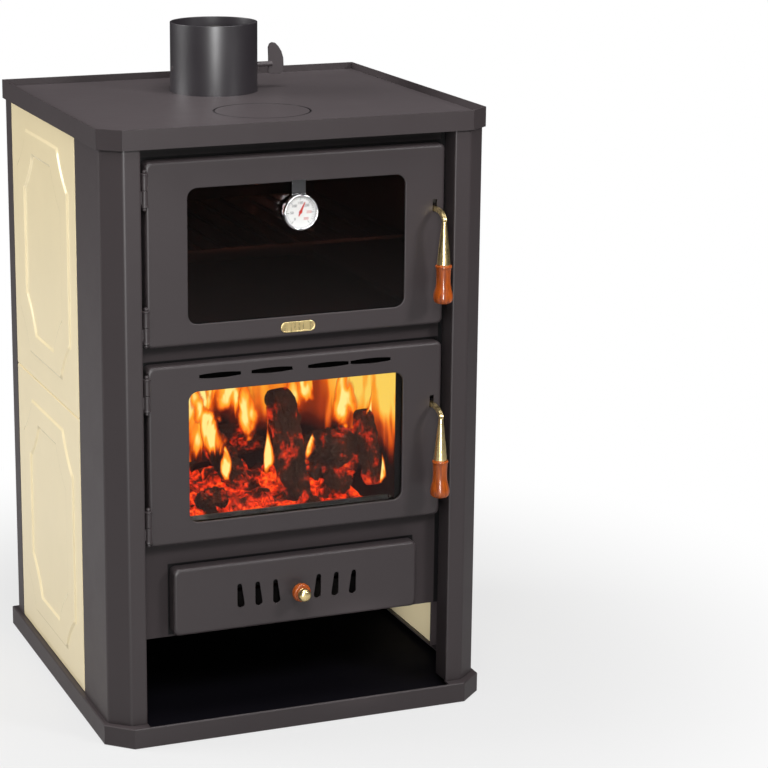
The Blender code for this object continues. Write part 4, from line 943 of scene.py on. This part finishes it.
def pressed_front(builder, half, rise, centre_z, window=None):
    """A pressed tray, open at the back, with a soft edge and an optional window."""
    soft = DOOR_SOFT

    def outer(shrink, level):
        points = round_box(half - shrink, rise - shrink, DOOR_CORNER, (0, centre_z))
        return spots(points, "front", level)

    def hole(grow, level):
        points = round_box(WINDOW_HALF + grow, WINDOW_RISE + grow, WINDOW_CORNER + grow,
                           (0, centre_z - WINDOW_DROP))
        return spots(points, "front", level)

    front = []
    for step in range(9):
        angle = math.radians(90 * step / 8)
        shrink = soft * (1 - math.cos(angle))
        front.append(outer(shrink, DOOR_FRONT + soft - soft * math.sin(angle)))
    back = [outer(soft, DOOR_FRONT + DOOR_SHEET), outer(DOOR_SHEET, DOOR_FRONT + soft),
            outer(DOOR_SHEET, DOOR_BACK)]
    if window:
        rim = 1.5 * MM
        middle = []
        for step in range(4):
            angle = math.radians(90 * step / 3)
            middle.append(hole(rim * (1 - math.sin(angle)), DOOR_FRONT + rim * (1 - math.cos(angle))))
        middle.append(hole(0, DOOR_FRONT + DOOR_SHEET))
        loft(builder, [outer(0, DOOR_BACK)] + front + middle + back, closed=True)
    else:
        loft(builder, (front[::-1] + [outer(0, DOOR_BACK)] + back[::-1]))


def tool_from(outline, depth):
    """A cutter that goes into the front to a depth."""
    builder = bmesh.new()
    plate(builder, outline, "front", DOOR_FRONT - 3 * MM, DOOR_FRONT + depth)
    return piece_from(builder, "tool", "body_paint")


def doors():
    """Door skins with their slots, and the hinges."""
    for name, centre in DOORS:
        builder = bmesh.new()
        pressed_front(builder, DOOR_HALF, DOOR_RISE, centre, window=True)
        piece = piece_from(builder, f"{name}_door_skin", "body_paint")
        pivot = centre + LEVER_RISE
        slot = round_box(SLOT_HALF, 8.8 * MM, 1.2 * MM, (LEVER_X, pivot + 5 * MM), 3)
        tools = [tool_from(slot, 1.1 * DOOR_SHEET)]
        if name == "fire":
            for across in AIR_SLOTS:
                outline = lens(30.5 * MM, 4.1 * MM, 2.4 * MM, (across * MM, centre + 110.5 * MM))
                tools.append(tool_from(outline, 1.1 * DOOR_SHEET))
        cut_holes(piece, tools)
        builder = bmesh.new()
        builder.from_mesh(piece.data)
        for side in (-1, 1):
            near = LEVER_X + side * SLOT_HALF
            far = near + side * 2.6 * MM
            box_into(builder, (min(near, far), DOOR_FRONT + DOOR_SHEET, pivot - 5.5 * MM),
                     (max(near, far), LINER_FRONT, pivot + 5.5 * MM))
        builder.to_mesh(piece.data)
        builder.free()
        seat(piece, f"{name}_door", "body_paint", f"{name}_door_panel")
        for word, rise in (("upper", 92 * MM), ("lower", -97 * MM)):
            hinge(name, word, centre + rise - HINGE_LENGTH / 2)


def hinge(door, word, low):
    """One weld-on hinge: pin half on the pillar, bored half on the door."""
    ring = 5.6 * MM
    body = 4.9 * MM
    split = HINGE_LENGTH / 2
    centre = (HINGE_X, HINGE_Y, low)
    lower = [(0, 0), (2.0 * MM, 0.3 * MM), (3.3 * MM, 1.6 * MM), (3.5 * MM, 3 * MM), (2.9 * MM, 4.6 * MM),
             (ring - 0.5 * MM, 5.1 * MM), (ring, 5.6 * MM), (ring, 7.2 * MM), (ring - 0.4 * MM, 7.7 * MM),
             (body, 8.1 * MM), (body, split - 0.6 * MM), (body - 0.5 * MM, split - GAP / 2),
             (2.5 * MM, split - GAP / 2), (2.5 * MM, HINGE_LENGTH - 8 * MM), (0, HINGE_LENGTH - 8 * MM)]
    builder = bmesh.new()
    turn_up(builder, lower, centre, UP, 40)
    wall = -OPENING_HALF + GAP
    box_into(builder, (wall, HINGE_Y - 2 * MM, low + 10 * MM),
             (wall + 2.8 * MM, HINGE_Y + 16 * MM, low + split - 2 * MM))
    piece = piece_from(builder, f"{door}_{word}_hinge_pin_half", "body_paint")
    seat(piece, "root", "body_paint", f"{door}_door_{word}_hinge_pin")
    top = HINGE_LENGTH
    upper = [(0, top - 7 * MM), (2.8 * MM, top - 7 * MM), (2.8 * MM, split + GAP / 2)]
    upper += [(body - 0.5 * MM, split + GAP / 2), (body, split + 0.6 * MM)]
    upper += [(radius, top - height) for radius, height in lower[9:0:-1]] + [(0, top)]
    builder = bmesh.new()
    turn_up(builder, upper, centre, UP, 40)
    edge = -DOOR_HALF - GAP
    box_into(builder, (edge - 2.8 * MM, HINGE_Y + 3.4 * MM, low + split + 2 * MM),
             (edge, HINGE_Y + 18 * MM, low + HINGE_LENGTH - 10 * MM))
    piece = piece_from(builder, f"{door}_{word}_hinge_bored_half", "body_paint")
    seat(piece, f"{door}_door", "body_paint", f"{door}_door_{word}_hinge")


def fan_outline(across, lean):
    """A slot that leans and widens downwards."""
    top = 3.5 * MM
    low = 5.5 * MM
    rise = 18 * MM
    shift = lean * (low - top)
    points = []
    for step in range(13):
        angle = math.pi * step / 12
        points.append((across - shift + top * math.cos(angle),
                       DRAWER_Z + rise - top + top * math.sin(angle)))
    for step in range(13):
        angle = math.pi + math.pi * step / 12
        points.append((across + low * math.cos(angle), DRAWER_Z - rise + low + low * math.sin(angle)))
    return points


def drawer():
    """Drawer front with its fan of slots, and the knob."""
    builder = bmesh.new()
    pressed_front(builder, DRAWER_HALF, DRAWER_RISE, DRAWER_Z)
    piece = piece_from(builder, "ash_drawer_skin", "body_paint")
    tools = []
    for side in (-1, 1):
        for offset in FAN_SLOTS:
            tools.append(tool_from(fan_outline(side * offset * MM, -side), 2 * DOOR_SHEET))
    cut_holes(piece, tools)
    seat(piece, "ash_drawer", "body_paint", "drawer_front")
    axis = (0, DOOR_FRONT, DRAWER_Z)
    rod = 2 * MM
    start = 12 * MM
    end = 22 * MM
    ball = 9.5 * MM
    reach = 36 * MM
    profile = [(0, -6.8 * MM), (5 * MM, -6.8 * MM), (5 * MM, -2.8 * MM), (rod, -2.8 * MM), (rod, GAP),
               (5.6 * MM, GAP),
               (6 * MM, 0.7 * MM), (5.8 * MM, 1.6 * MM), (4.2 * MM, 2.6 * MM), (3.4 * MM, 3.4 * MM),
               (3.4 * MM, 4.5 * MM),
               (4.4 * MM, 5.6 * MM), (5.5 * MM, 6.8 * MM), (5.9 * MM, 8 * MM), (5.5 * MM, 9.3 * MM),
               (4.4 * MM, 10.6 * MM),
               (3.4 * MM, start - GAP), (rod, start - GAP), (rod, end + GAP), (0.8 * ball, end + GAP)]
    for step in range(1, 13):
        angle = math.radians(180 * step / 12)
        height = (reach - end - GAP) * (1 - math.cos(angle)) / 2
        profile.append((max(0.0, ball * math.sin(angle) ** 0.6) if step < 12 else 0.0, end + GAP + height))
    knob = turned_piece("knob_spindle_turned", "brass", 50, profile, axis, FORWARD, 48)
    seat(knob, "ash_drawer", "brass", "knob_spindle")
    wide = 13.5 * MM
    bore = 2.4 * MM
    ring = [(bore, start), (0.8 * wide, start), (0.93 * wide, start + 0.9 * MM),
            (0.985 * wide, start + 2.6 * MM),
            (wide, start + 5 * MM), (0.985 * wide, end - 2.8 * MM), (0.9 * wide, end - 0.9 * MM),
            (0.78 * wide, end),
            (bore, end)]
    ring_piece = turned_piece("knob_ring_turned", "lacquered_wood", 60, ring, axis, FORWARD, 48, closed=True)
    seat(ring_piece, "ash_drawer", "lacquered_wood", "knob_ring")


# Handles

def handles():
    """Lever, brass cone and turned grip of each door."""
    for name, centre in DOORS:
        pivot = centre + LEVER_RISE
        cone_top = pivot - 12.5 * MM
        run = HANDLE_Y - PIVOT_Y
        tip = PIVOT_Y + 20.5 * MM
        path = [(tip, pivot), (PIVOT_Y, pivot), (PIVOT_Y + 0.45 * run, pivot + MM),
                (PIVOT_Y + 0.68 * run, pivot - 0.5 * MM), (PIVOT_Y + 0.88 * run, pivot - 4 * MM),
                (HANDLE_Y, pivot - 9.5 * MM), (HANDLE_Y, cone_top + GAP)]
        soft = rounded_path(path, 5 * MM, 5)
        outline = beside(soft, -3 * MM) + beside(soft, 3 * MM)[::-1]
        builder = bmesh.new()
        half = 2.5 * MM
        plate(builder, outline, "side", LEVER_X - half, LEVER_X + half)
        box_into(builder, (LEVER_X - half, tip - 4 * MM, pivot), (LEVER_X + half, tip, pivot + 5.4 * MM))
        turn_up(builder, [(0, -5.7 * MM), (3 * MM, -5.7 * MM), (3 * MM, 5.7 * MM), (0, 5.7 * MM)],
                (LEVER_X, PIVOT_Y, pivot), (1, 0, 0), 24)
        length = 61 * MM
        grip_length = 55 * MM
        grip_top = cone_top - length - GAP
        rod_end = grip_top - 0.6 * grip_length
        turn_up(builder, [(0, rod_end), (2 * MM, rod_end), (2 * MM, cone_top + 2 * MM),
                          (0, cone_top + 2 * MM)],
                (LEVER_X, HANDLE_Y, 0), UP, 20)
        lever = piece_from(builder, f"{name}_lever_arm", "brass")
        seat(lever, f"{name}_handle", "brass", f"{name}_handle_lever")
        low = cone_top - length
        bore = 2.4 * MM
        wide = 9.4 * MM
        cone = [(bore, cone_top), (3.0 * MM, cone_top), (3.4 * MM, cone_top - 0.6 * MM)]
        for down, share in ((0.13, 0.43), (0.28, 0.54), (0.45, 0.67), (0.62, 0.79), (0.78, 0.89),
                            (0.9, 0.96)):
            cone.append((share * wide, cone_top - down * length))
        cone += [(wide, low + 1.2 * MM), (wide, low + 0.4 * MM), (wide - 0.4 * MM, low), (bore, low)]
        cone_piece = turned_piece(f"{name}_brass_cone", "brass", 50, cone, (LEVER_X, HANDLE_Y, 0), UP, 64,
                                  closed=True)
        seat(cone_piece, f"{name}_handle", "brass", f"{name}_handle_cone")
        full = 14 * MM
        shares = [(0.76, 0), (0.83, 0.012), (0.845, 0.035), (0.83, 0.06), (0.78, 0.075), (0.765, 0.1),
                  (0.745, 0.16),
                  (0.73, 0.26), (0.725, 0.36), (0.735, 0.46), (0.765, 0.54), (0.83, 0.62), (0.91, 0.7),
                  (0.975, 0.77), (1.0, 0.84), (0.985, 0.895), (0.92, 0.94), (0.78, 0.975), (0.55, 0.994),
                  (0.3, 1.0)]
        grip = [(0, rod_end - 0.5 * MM), (bore, rod_end - 0.5 * MM), (bore, grip_top)]
        grip += [(full * share, grip_top - grip_length * down) for share, down in shares]
        grip.append((0, grip_top - grip_length))
        grip_piece = turned_piece(f"{name}_turned_grip", "lacquered_wood", 60, grip,
                                  (LEVER_X, HANDLE_Y, 0), UP, 64)
        seat(grip_piece, f"{name}_handle", "lacquered_wood", f"{name}_handle_grip")


# Thermometer and brass plate

def thermometer():
    """Dial case and face, with plain marks and numbers."""
    centre = (0, 0, DIAL_Z)
    rim = DIAL_RADIUS
    inside = rim - 2.8 * MM
    floor = CASE_BACK - 6 * MM
    profile = [(0, -CASE_BACK), (rim - MM, -CASE_BACK), (rim, MM - CASE_BACK), (rim, -CASE_FRONT - 1.5 * MM),
               (rim - 0.25 * MM, -CASE_FRONT - 0.6 * MM), (rim - 0.9 * MM, -CASE_FRONT - 0.1 * MM),
               (rim - 1.5 * MM, -CASE_FRONT), (inside + 0.7 * MM, -CASE_FRONT - 0.3 * MM),
               (inside + 0.1 * MM, -CASE_FRONT - 1.1 * MM), (inside, -floor), (0, -floor)]
    builder = bmesh.new()
    turn_up(builder, profile, centre, FORWARD, 96)
    top = OVEN_Z - WINDOW_DROP + WINDOW_RISE + 2.5 * MM
    box_into(builder, (-10 * MM, CASE_BACK - MM, DIAL_Z + 0.7 * rim), (10 * MM, DOOR_FRONT - GAP, top))
    case = piece_from(builder, "dial_case_turned", "chrome", 50)
    seat(case, "oven_door", "chrome", "thermometer_case")
    builder = bmesh.new()
    turn_up(builder, [(0, -FACE_FRONT - 0.8 * MM), (inside - GAP, -FACE_FRONT - 0.8 * MM),
                      (inside - GAP, -FACE_FRONT),
                      (0, -FACE_FRONT)], centre, FORWARD, 96)
    face = piece_from(builder, "dial_face_disc", "dial_white")
    seat(face, "oven_door", "dial_white", "thermometer_face")
    builder = bmesh.new()
    for index in range(31):
        angle = math.radians(DIAL_START + DIAL_SWEEP * index / 30)
        long = index % 5 == 0
        out = Vector((math.sin(angle), 0, math.cos(angle)))
        side = Vector((math.cos(angle), 0, -math.sin(angle))) * (0.34 * MM if long else 0.2 * MM)
        start = out * (16.6 * MM if long else 18.2 * MM)
        end = out * 20.6 * MM
        middle = Vector((0, FACE_FRONT, DIAL_Z))
        lift = Vector((0, -INK, 0))
        corners = [middle + start - side, middle + start + side, middle + end + side, middle + end - side]
        loft(builder, [corners, [corner + lift for corner in corners]])
    marks = piece_from(builder, "dial_marks", "dial_ink")
    seat(marks, "oven_door", "dial_white", flatten=False)
    for index, value in enumerate((0, 50, 100, 150, 200, 250, 300)):
        angle = math.radians(DIAL_START + DIAL_SWEEP * index / 6)
        words = bpy.data.curves.new("number", "FONT")
        words.body = str(value)
        words.size = 5.2 * MM
        words.align_x = "CENTER"
        words.align_y = "CENTER"
        carrier = put("number", words)
        mesh = shaped(carrier)
        bpy.data.objects.remove(carrier)
        turn = Matrix.Rotation(math.radians(90), 4, "X")
        away = Vector((NUMBER_RADIUS * math.sin(angle), FACE_FRONT - INK,
                       DIAL_Z + NUMBER_RADIUS * math.cos(angle)))
        mesh.transform(Matrix.Translation(away) @ turn)
        mesh.materials.clear()
        mesh.materials.append(LOOKS["dial_ink"] if value < 250 else LOOKS["needle_red"])
        number = put(f"dial_number_{value}", mesh)
        seat(number, "oven_door", "dial_white", flatten=False)


def brass_badge():
    """Bare brass plate with a fine raised rim."""
    back = DOOR_FRONT - GAP
    front = back - 1.6 * MM
    section = [(0, back), (0, front + 0.6 * MM), (0.2 * MM, front + 0.2 * MM), (0.7 * MM, front),
               (1.3 * MM, front),
               (1.7 * MM, front + 0.15 * MM), (2.0 * MM, front + 0.5 * MM)]
    loops = []
    for shrink, level in section:
        rise = BADGE_RISE - shrink
        outline = round_box(BADGE_HALF - shrink, rise, rise * 0.98, (0, BADGE_Z), 12)
        loops.append(spots(outline, "front", level))
    builder = bmesh.new()
    loft(builder, loops)
    piece = piece_from(builder, "brass_plate_pressed", "brass", 60)
    seat(piece, "oven_door", "brass", "brass_plate")


# Fire

def log_mesh(name, start, end, radius, seed, hollow=False):
    """A split, lumpy log between two points."""
    start = Vector(start)
    run = Vector(end) - start
    turn = Vector(UP).rotation_difference(run.normalized()).to_matrix()
    rings = []
    steps = 72
    layers = 48
    for layer in range(layers + 1):
        share = layer / layers
        ring = []
        for step in range(steps):
            angle = math.tau * step / steps
            probe = Vector((math.cos(angle) * 1.6, math.sin(angle) * 1.6, share * 3)) + Vector((seed, 0, 0))
            bark = noise.noise(probe * 2.2) * 0.24 + noise.noise(probe * 6.0) * 0.14
            split = abs(noise.noise(Vector((probe.x * 5, probe.y * 5, probe.z * 1.2 + seed))))
            bark += 0.05 * noise.noise(probe * 15.0) - 0.16 * max(0.0, 0.14 - split) / 0.14
            flat = 0.16 * max(0.0, math.cos(3 * angle + seed))
            grown = radius * (1 + bark - flat) * (1 - 0.42 * abs(2 * share - 1) ** 9)
            wobble = Vector((noise.noise(Vector((seed, share * 2, 0))),
                             noise.noise(Vector((0, share * 2, seed))), 0))
            local = Vector((grown * math.cos(angle), grown * math.sin(angle), share * run.length))
            ring.append(turn @ (local + wobble * radius * 0.35) + start)
        rings.append(ring)
    if hollow:
        inner = [start + (point - start) * 0.78 + run.normalized() * 1.5 * MM for point in rings[0]]
        deep = [start + (point - start) * 0.7 + run.normalized() * 20 * MM for point in rings[0]]
        rings = [deep, inner] + rings
    builder = bmesh.new()
    loft(builder, rings)
    piece = piece_from(builder, name, "charred", 70)
    seat(piece, "root", "cast_iron", flatten=False)


def ember_bed():
    """Heaped embers over the grate."""
    builder = bmesh.new()
    grid = []
    for row in range(BED_STEPS + 1):
        line = []
        for column in range(BED_STEPS + 1):
            x = -BED_HALF + 2 * BED_HALF * column / BED_STEPS
            y = BED_FRONT + BED_DEPTH * row / BED_STEPS
            edge = min(1.0, (BED_HALF - abs(x)) / 0.03, (y - BED_FRONT) / 0.02,
                       (BED_FRONT + BED_DEPTH - y) / 0.03)
            lump = noise.cell(Vector((x * 55, y * 55, 0.5))) * 0.012
            soft = noise.noise(Vector((x * 22, y * 22, 2))) * 0.016
            soft += noise.noise(Vector((x * 60, y * 60, 5))) * 0.007
            z = BED_LOW + max(0.0, edge) * (0.020 + max(-0.012, soft + lump))
            line.append(builder.verts.new((x, y, z)))
        grid.append(line)
    join_rows(builder, grid)
    piece = piece_from(builder, "ember_heap", "embers", 180)
    seat(piece, "root", "cast_iron", flatten=False)


def tongue(name, root, height, width, lean, seed):
    """One tongue of flame: a curved, tapering sheet with its own map."""
    builder = bmesh.new()
    layer = builder.loops.layers.uv.new("UVMap")
    rows = 24
    columns = 8
    grid = []
    for row in range(rows + 1):
        share = row / rows
        bend = math.sin(share * 2.6 + seed) - math.sin(seed)
        taper = (0.35 + 0.65 * math.sin(math.pi * min(1, 0.25 + share * 0.8))) * (1 - share ** 3 * 0.75)
        line = []
        for column in range(columns + 1):
            across = column / columns - 0.5
            x = root[0] + lean * share + width * 0.28 * bend + across * width * taper
            y = root[1] + 10 * MM * math.cos(across * math.pi) + 0.012 * math.sin(3 * share + seed)
            line.append((builder.verts.new((x, y, root[2] + height * share)), column / columns, share))
        grid.append(line)
    for row in range(rows):
        for column in range(columns):
            corners = [grid[row][column], grid[row][column + 1], grid[row + 1][column + 1],
                       grid[row + 1][column]]
            face = builder.faces.new([corner[0] for corner in corners])
            for loop, corner in zip(face.loops, corners):
                loop[layer].uv = (corner[1], corner[2])
    mesh = bpy.data.meshes.new(name)
    builder.to_mesh(mesh)
    builder.free()
    mesh.shade_smooth()
    mesh.materials.append(LOOKS["flame"])
    piece = put(name, mesh)
    seat(piece, "root", "cast_iron", flatten=False)


def blaze_curtain():
    """A curved sheet of fire that follows the back and the right side of the firebox."""
    path = rounded_path([(-0.156, 0.060), (-0.060, 0.050), (0.060, 0.030), (0.130, -0.060),
                         (0.1575, -0.205)],
                        0.06, 10)
    rows = 16
    builder = bmesh.new()
    lines = []
    for row in range(rows + 1):
        lines.append([builder.verts.new((x, y, BED_LOW + CURTAIN_RISE * row / rows)) for x, y in path])
    join_rows(builder, lines)
    mouth = ((0.1572, -0.2055), (0.1522, -0.2125), (0.1522, -0.2365))
    join_rows(builder, [[builder.verts.new((x, y, z)) for x, y in mouth] for z in (0.3138, 0.5055)])
    curtain = piece_from(builder, "blaze_curtain_sheet", "blaze", 180)
    seat(curtain, "root", "cast_iron", flatten=False)


def fire(look):
    """Burning logs, embers and flames behind the fire door's glass."""
    ember_bed()
    blaze_curtain()
    for index, (start, end, radius) in enumerate(LOGS):
        log_mesh(f"burning_log_{index}", [v * MM for v in start], [v * MM for v in end], radius * MM,
                 1.3 + 2.7 * index, hollow=index == 0)
    dice = random.Random(look.fire_seed)
    for index, (root, height, width, lean) in enumerate(FLAMES):
        tongue(f"flame_{index:02d}", root, height, width, lean, dice.uniform(0, math.tau))


# Studio

def area_lamp(name, place, aim, width, height, power, colour=(1, 1, 1)):
    lamp = bpy.data.lights.new(name, "AREA")
    lamp.shape = "RECTANGLE"
    lamp.size = width
    lamp.size_y = height
    lamp.energy = power
    lamp.color = colour
    holder = put(name, lamp)
    holder.location = place
    holder.rotation_euler = (Vector(aim) - Vector(place)).to_track_quat("-Z", "Y").to_euler()
    return holder


def studio(look):
    """Pale floor, white surroundings, soft lamps and the camera."""
    scene = bpy.context.scene
    builder = bmesh.new()
    half = 30.0
    corners = [builder.verts.new((x, y, -1 * MM)) for x,
               y in ((-half, -half), (half, -half), (half, half), (-half, half))]
    builder.faces.new(corners)
    made, tree, shader = new_material("pale_floor")
    fill(tree, shader, Base_Color=(0.42, 0.42, 0.42), Roughness=0.9, Specular_IOR_Level=0.1)
    white = add_node(tree, "ShaderNodeEmission")
    fill(tree, white, Strength=1.0)
    where = add_node(tree, "ShaderNodeNewGeometry")
    away = add_node(tree, "ShaderNodeVectorMath", operation="LENGTH")
    tree.links.new(where.outputs["Position"], away.inputs[0])
    share = ease(tree, away.outputs["Value"], 0.45, 1.1, 0.7, 1.0)
    path = add_node(tree, "ShaderNodeLightPath")
    mix = add_node(tree, "ShaderNodeMixShader")
    tree.links.new(times(tree, share, path.outputs["Is Camera Ray"]), mix.inputs[0])
    tree.links.new(shader.outputs[0], mix.inputs[1])
    tree.links.new(white.outputs[0], mix.inputs[2])
    tree.links.new(mix.outputs[0], tree.nodes["Material Output"].inputs["Surface"])
    LOOKS["studio_floor"] = made
    floor = piece_from(builder, "studio_floor", "studio_floor", 180)

    world = bpy.data.worlds.new("studio")
    scene.world = world
    world.use_nodes = True
    tree = world.node_tree
    back = tree.nodes["Background"]
    fill(tree, back, Color=(1.0, 1.0, 1.0))
    path = add_node(tree, "ShaderNodeLightPath")
    seen = most(tree, path.outputs["Is Camera Ray"], path.outputs["Is Transmission Ray"])
    shine = times(tree, path.outputs["Is Glossy Ray"], look.mirror_level)
    level = most(tree, most(tree, seen, shine), look.ambient)
    fill(tree, back, Strength=level)

    area_lamp("front_right_lamp", (1.5, -2.1, 2.0), (0, -0.2, 0.6), 0.5, 0.5, look.key_power)
    area_lamp("left_lamp", (-3.0, 1.2, 1.9), (0, 0, 0.45), 1.6, 2.0, look.left_power)
    area_lamp("top_lamp", (0.0, -0.5, 3.2), (0, 0, 0.8), 1.6, 1.6, look.top_power)
    area_lamp("front_left_lamp", (-0.6, -2.0, 1.9), (0, -0.2, 0.6), 0.9, 0.9, look.front_power)
    strip = area_lamp("low_strip_lamp", (-0.85, -3.2, 0.7), (0, 0, 0.7), 0.35, 1.35, look.strip_power)
    strip.visible_diffuse = False
    low = bpy.data.lights.new("store_side_lamp", "SPOT")
    low.energy = look.store_power
    low.spot_size = math.radians(3.6)
    low.spot_blend = 1.0
    low.shadow_soft_size = 0.02
    holder = put("store_side_lamp", low)
    holder.location = (-1.6, -2.2, 0.35)
    aim = Vector((0.268, -0.05, 0.065)) - holder.location
    holder.rotation_euler = aim.to_track_quat("-Z", "Y").to_euler()

    eye = bpy.data.cameras.new("photo_camera")
    eye.lens = LENS
    eye.sensor_width = 36.0
    eye.shift_x, eye.shift_y = LENS_SHIFT
    eye.clip_end = 100.0
    holder = put("photo_camera", eye)
    holder.location = CAMERA_PLACE
    holder.rotation_euler = (math.radians(90 - CAMERA_DOWN), 0, math.radians(CAMERA_TURN))
    scene.camera = holder
    scene.view_settings.view_transform = "Standard"


# Add-on

class StoveLook(bpy.types.PropertyGroup):
    """Colours and levels that a user may change."""
    body_colour: bpy.props.FloatVectorProperty(
        name="Body colour", description="Heat-proof paint of the body", subtype="COLOR", min=0, max=1,
        default=(0.050, 0.040, 0.042))
    top_colour: bpy.props.FloatVectorProperty(
        name="Top colour", description="Paint of the cooking plate and its lid", subtype="COLOR", min=0,
                                              max=1,
        default=(0.064, 0.053, 0.056))
    panel_colour: bpy.props.FloatVectorProperty(
        name="Panel colour", description="Cream enamel of the side panels", subtype="COLOR", min=0, max=1,
        default=(0.93, 0.79, 0.50))
    brass_colour: bpy.props.FloatVectorProperty(
        name="Brass colour", description="Levers, cones, knob and plate", subtype="COLOR", min=0, max=1,
        default=(0.94, 0.74, 0.36))
    wood_colour: bpy.props.FloatVectorProperty(
        name="Wood colour", description="Light grain of the lacquered grips", subtype="COLOR", min=0, max=1,
        default=(0.62, 0.125, 0.010))
    paint_roughness: bpy.props.FloatProperty(
        name="Paint roughness", description="Satin level of the paint", default=0.42, min=0, max=1,
                                             subtype="FACTOR")
    flame_strength: bpy.props.FloatProperty(
        name="Flame strength", description="How bright the fire is", default=1.0, min=0, max=20)
    fire_seed: bpy.props.IntProperty(
        name="Fire seed", description="Changes the bend of the flames", default=7, min=0)
    ambient: bpy.props.FloatProperty(
        name="Ambient level", description="Light from all sides", default=0.0061, min=0, max=2)
    mirror_level: bpy.props.FloatProperty(
        name="Mirror level", description="How bright the room looks in metal", default=0.0305, min=0, max=1)
    key_power: bpy.props.FloatProperty(
        name="Front right lamp", description="Power of the front right lamp", default=33, min=0,
                                       subtype="POWER", unit="POWER")
    left_power: bpy.props.FloatProperty(
        name="Left lamp", description="Power of the left lamp", default=100, min=0, subtype="POWER",
                                        unit="POWER")
    top_power: bpy.props.FloatProperty(
        name="Top lamp", description="Power of the top lamp", default=66, min=0, subtype="POWER",
                                       unit="POWER")
    front_power: bpy.props.FloatProperty(
        name="Front left lamp", description="Power of the front left lamp", default=26, min=0,
                                         subtype="POWER",
        unit="POWER")
    strip_power: bpy.props.FloatProperty(
        name="Strip lamp", description="Power of the low lamp that draws highlights", default=75, min=0,
        subtype="POWER", unit="POWER")
    store_power: bpy.props.FloatProperty(
        name="Store lamp", description="Power of the narrow lamp into the wood store", default=270, min=0,
        subtype="POWER", unit="POWER")


class STOVE_OT_finishes(bpy.types.Operator):
    """Make every finish and put it on the solids"""
    bl_idname = "stove.finishes"
    bl_label = "Finishes"

    def execute(self, context):
        build_looks(context.scene.stove_look)
        dress_solids()
        return {"FINISHED"}


class STOVE_OT_body(bpy.types.Operator):
    """Make the folded front pillars"""
    bl_idname = "stove.body"
    bl_label = "Body sheets"

    def execute(self, context):
        body_sheets()
        return {"FINISHED"}


class STOVE_OT_panels(bpy.types.Operator):
    """Make the four enamelled side panels"""
    bl_idname = "stove.panels"
    bl_label = "Side panels"

    def execute(self, context):
        side_panels()
        return {"FINISHED"}


class STOVE_OT_top(bpy.types.Operator):
    """Make the flue spigot and the hob lid"""
    bl_idname = "stove.top"
    bl_label = "Top pieces"

    def execute(self, context):
        top_pieces()
        return {"FINISHED"}


class STOVE_OT_doors(bpy.types.Operator):
    """Make both door skins and the hinges"""
    bl_idname = "stove.doors"
    bl_label = "Doors"

    def execute(self, context):
        doors()
        return {"FINISHED"}


class STOVE_OT_drawer(bpy.types.Operator):
    """Make the drawer front and its knob"""
    bl_idname = "stove.drawer"
    bl_label = "Ash drawer"

    def execute(self, context):
        drawer()
        return {"FINISHED"}


class STOVE_OT_handles(bpy.types.Operator):
    """Make the levers, cones and grips"""
    bl_idname = "stove.handles"
    bl_label = "Door handles"

    def execute(self, context):
        handles()
        return {"FINISHED"}


class STOVE_OT_dial(bpy.types.Operator):
    """Make the thermometer and the brass plate"""
    bl_idname = "stove.dial"
    bl_label = "Thermometer and plate"

    def execute(self, context):
        thermometer()
        brass_badge()
        return {"FINISHED"}


class STOVE_OT_fire(bpy.types.Operator):
    """Make the logs, embers and flames"""
    bl_idname = "stove.fire"
    bl_label = "Fire"

    def execute(self, context):
        fire(context.scene.stove_look)
        return {"FINISHED"}


class STOVE_OT_studio(bpy.types.Operator):
    """Make the floor, lamps, world and camera"""
    bl_idname = "stove.studio"
    bl_label = "Studio"

    def execute(self, context):
        studio(context.scene.stove_look)
        return {"FINISHED"}


OPERATORS = (STOVE_OT_finishes, STOVE_OT_body, STOVE_OT_panels, STOVE_OT_top, STOVE_OT_doors,
             STOVE_OT_drawer,
             STOVE_OT_handles, STOVE_OT_dial, STOVE_OT_fire, STOVE_OT_studio)


class STOVE_PT_sidebar(bpy.types.Panel):
    """Lists the stove's pieces and settings"""
    bl_idname = "STOVE_PT_sidebar"
    bl_label = "Stove"
    bl_space_type = "VIEW_3D"
    bl_region_type = "UI"
    bl_category = "Stove"

    def draw(self, context):
        look = context.scene.stove_look
        for name in look.__annotations__:
            self.layout.prop(look, name)
        for operator in OPERATORS:
            self.layout.operator(operator.bl_idname)


CLASSES = (StoveLook, *OPERATORS, STOVE_PT_sidebar)


def register():
    for item in CLASSES:
        bpy.utils.register_class(item)
    bpy.types.Scene.stove_look = bpy.props.PointerProperty(type=StoveLook)


def unregister():
    del bpy.types.Scene.stove_look
    for item in reversed(CLASSES):
        bpy.utils.unregister_class(item)


def main():
    register()
    bpy.ops.stove.finishes()
    bpy.ops.stove.body()
    bpy.ops.stove.panels()
    bpy.ops.stove.top()
    bpy.ops.stove.doors()
    bpy.ops.stove.drawer()
    bpy.ops.stove.handles()
    bpy.ops.stove.dial()
    bpy.ops.stove.fire()
    bpy.ops.stove.studio()


if __name__ == "__main__":
    main()
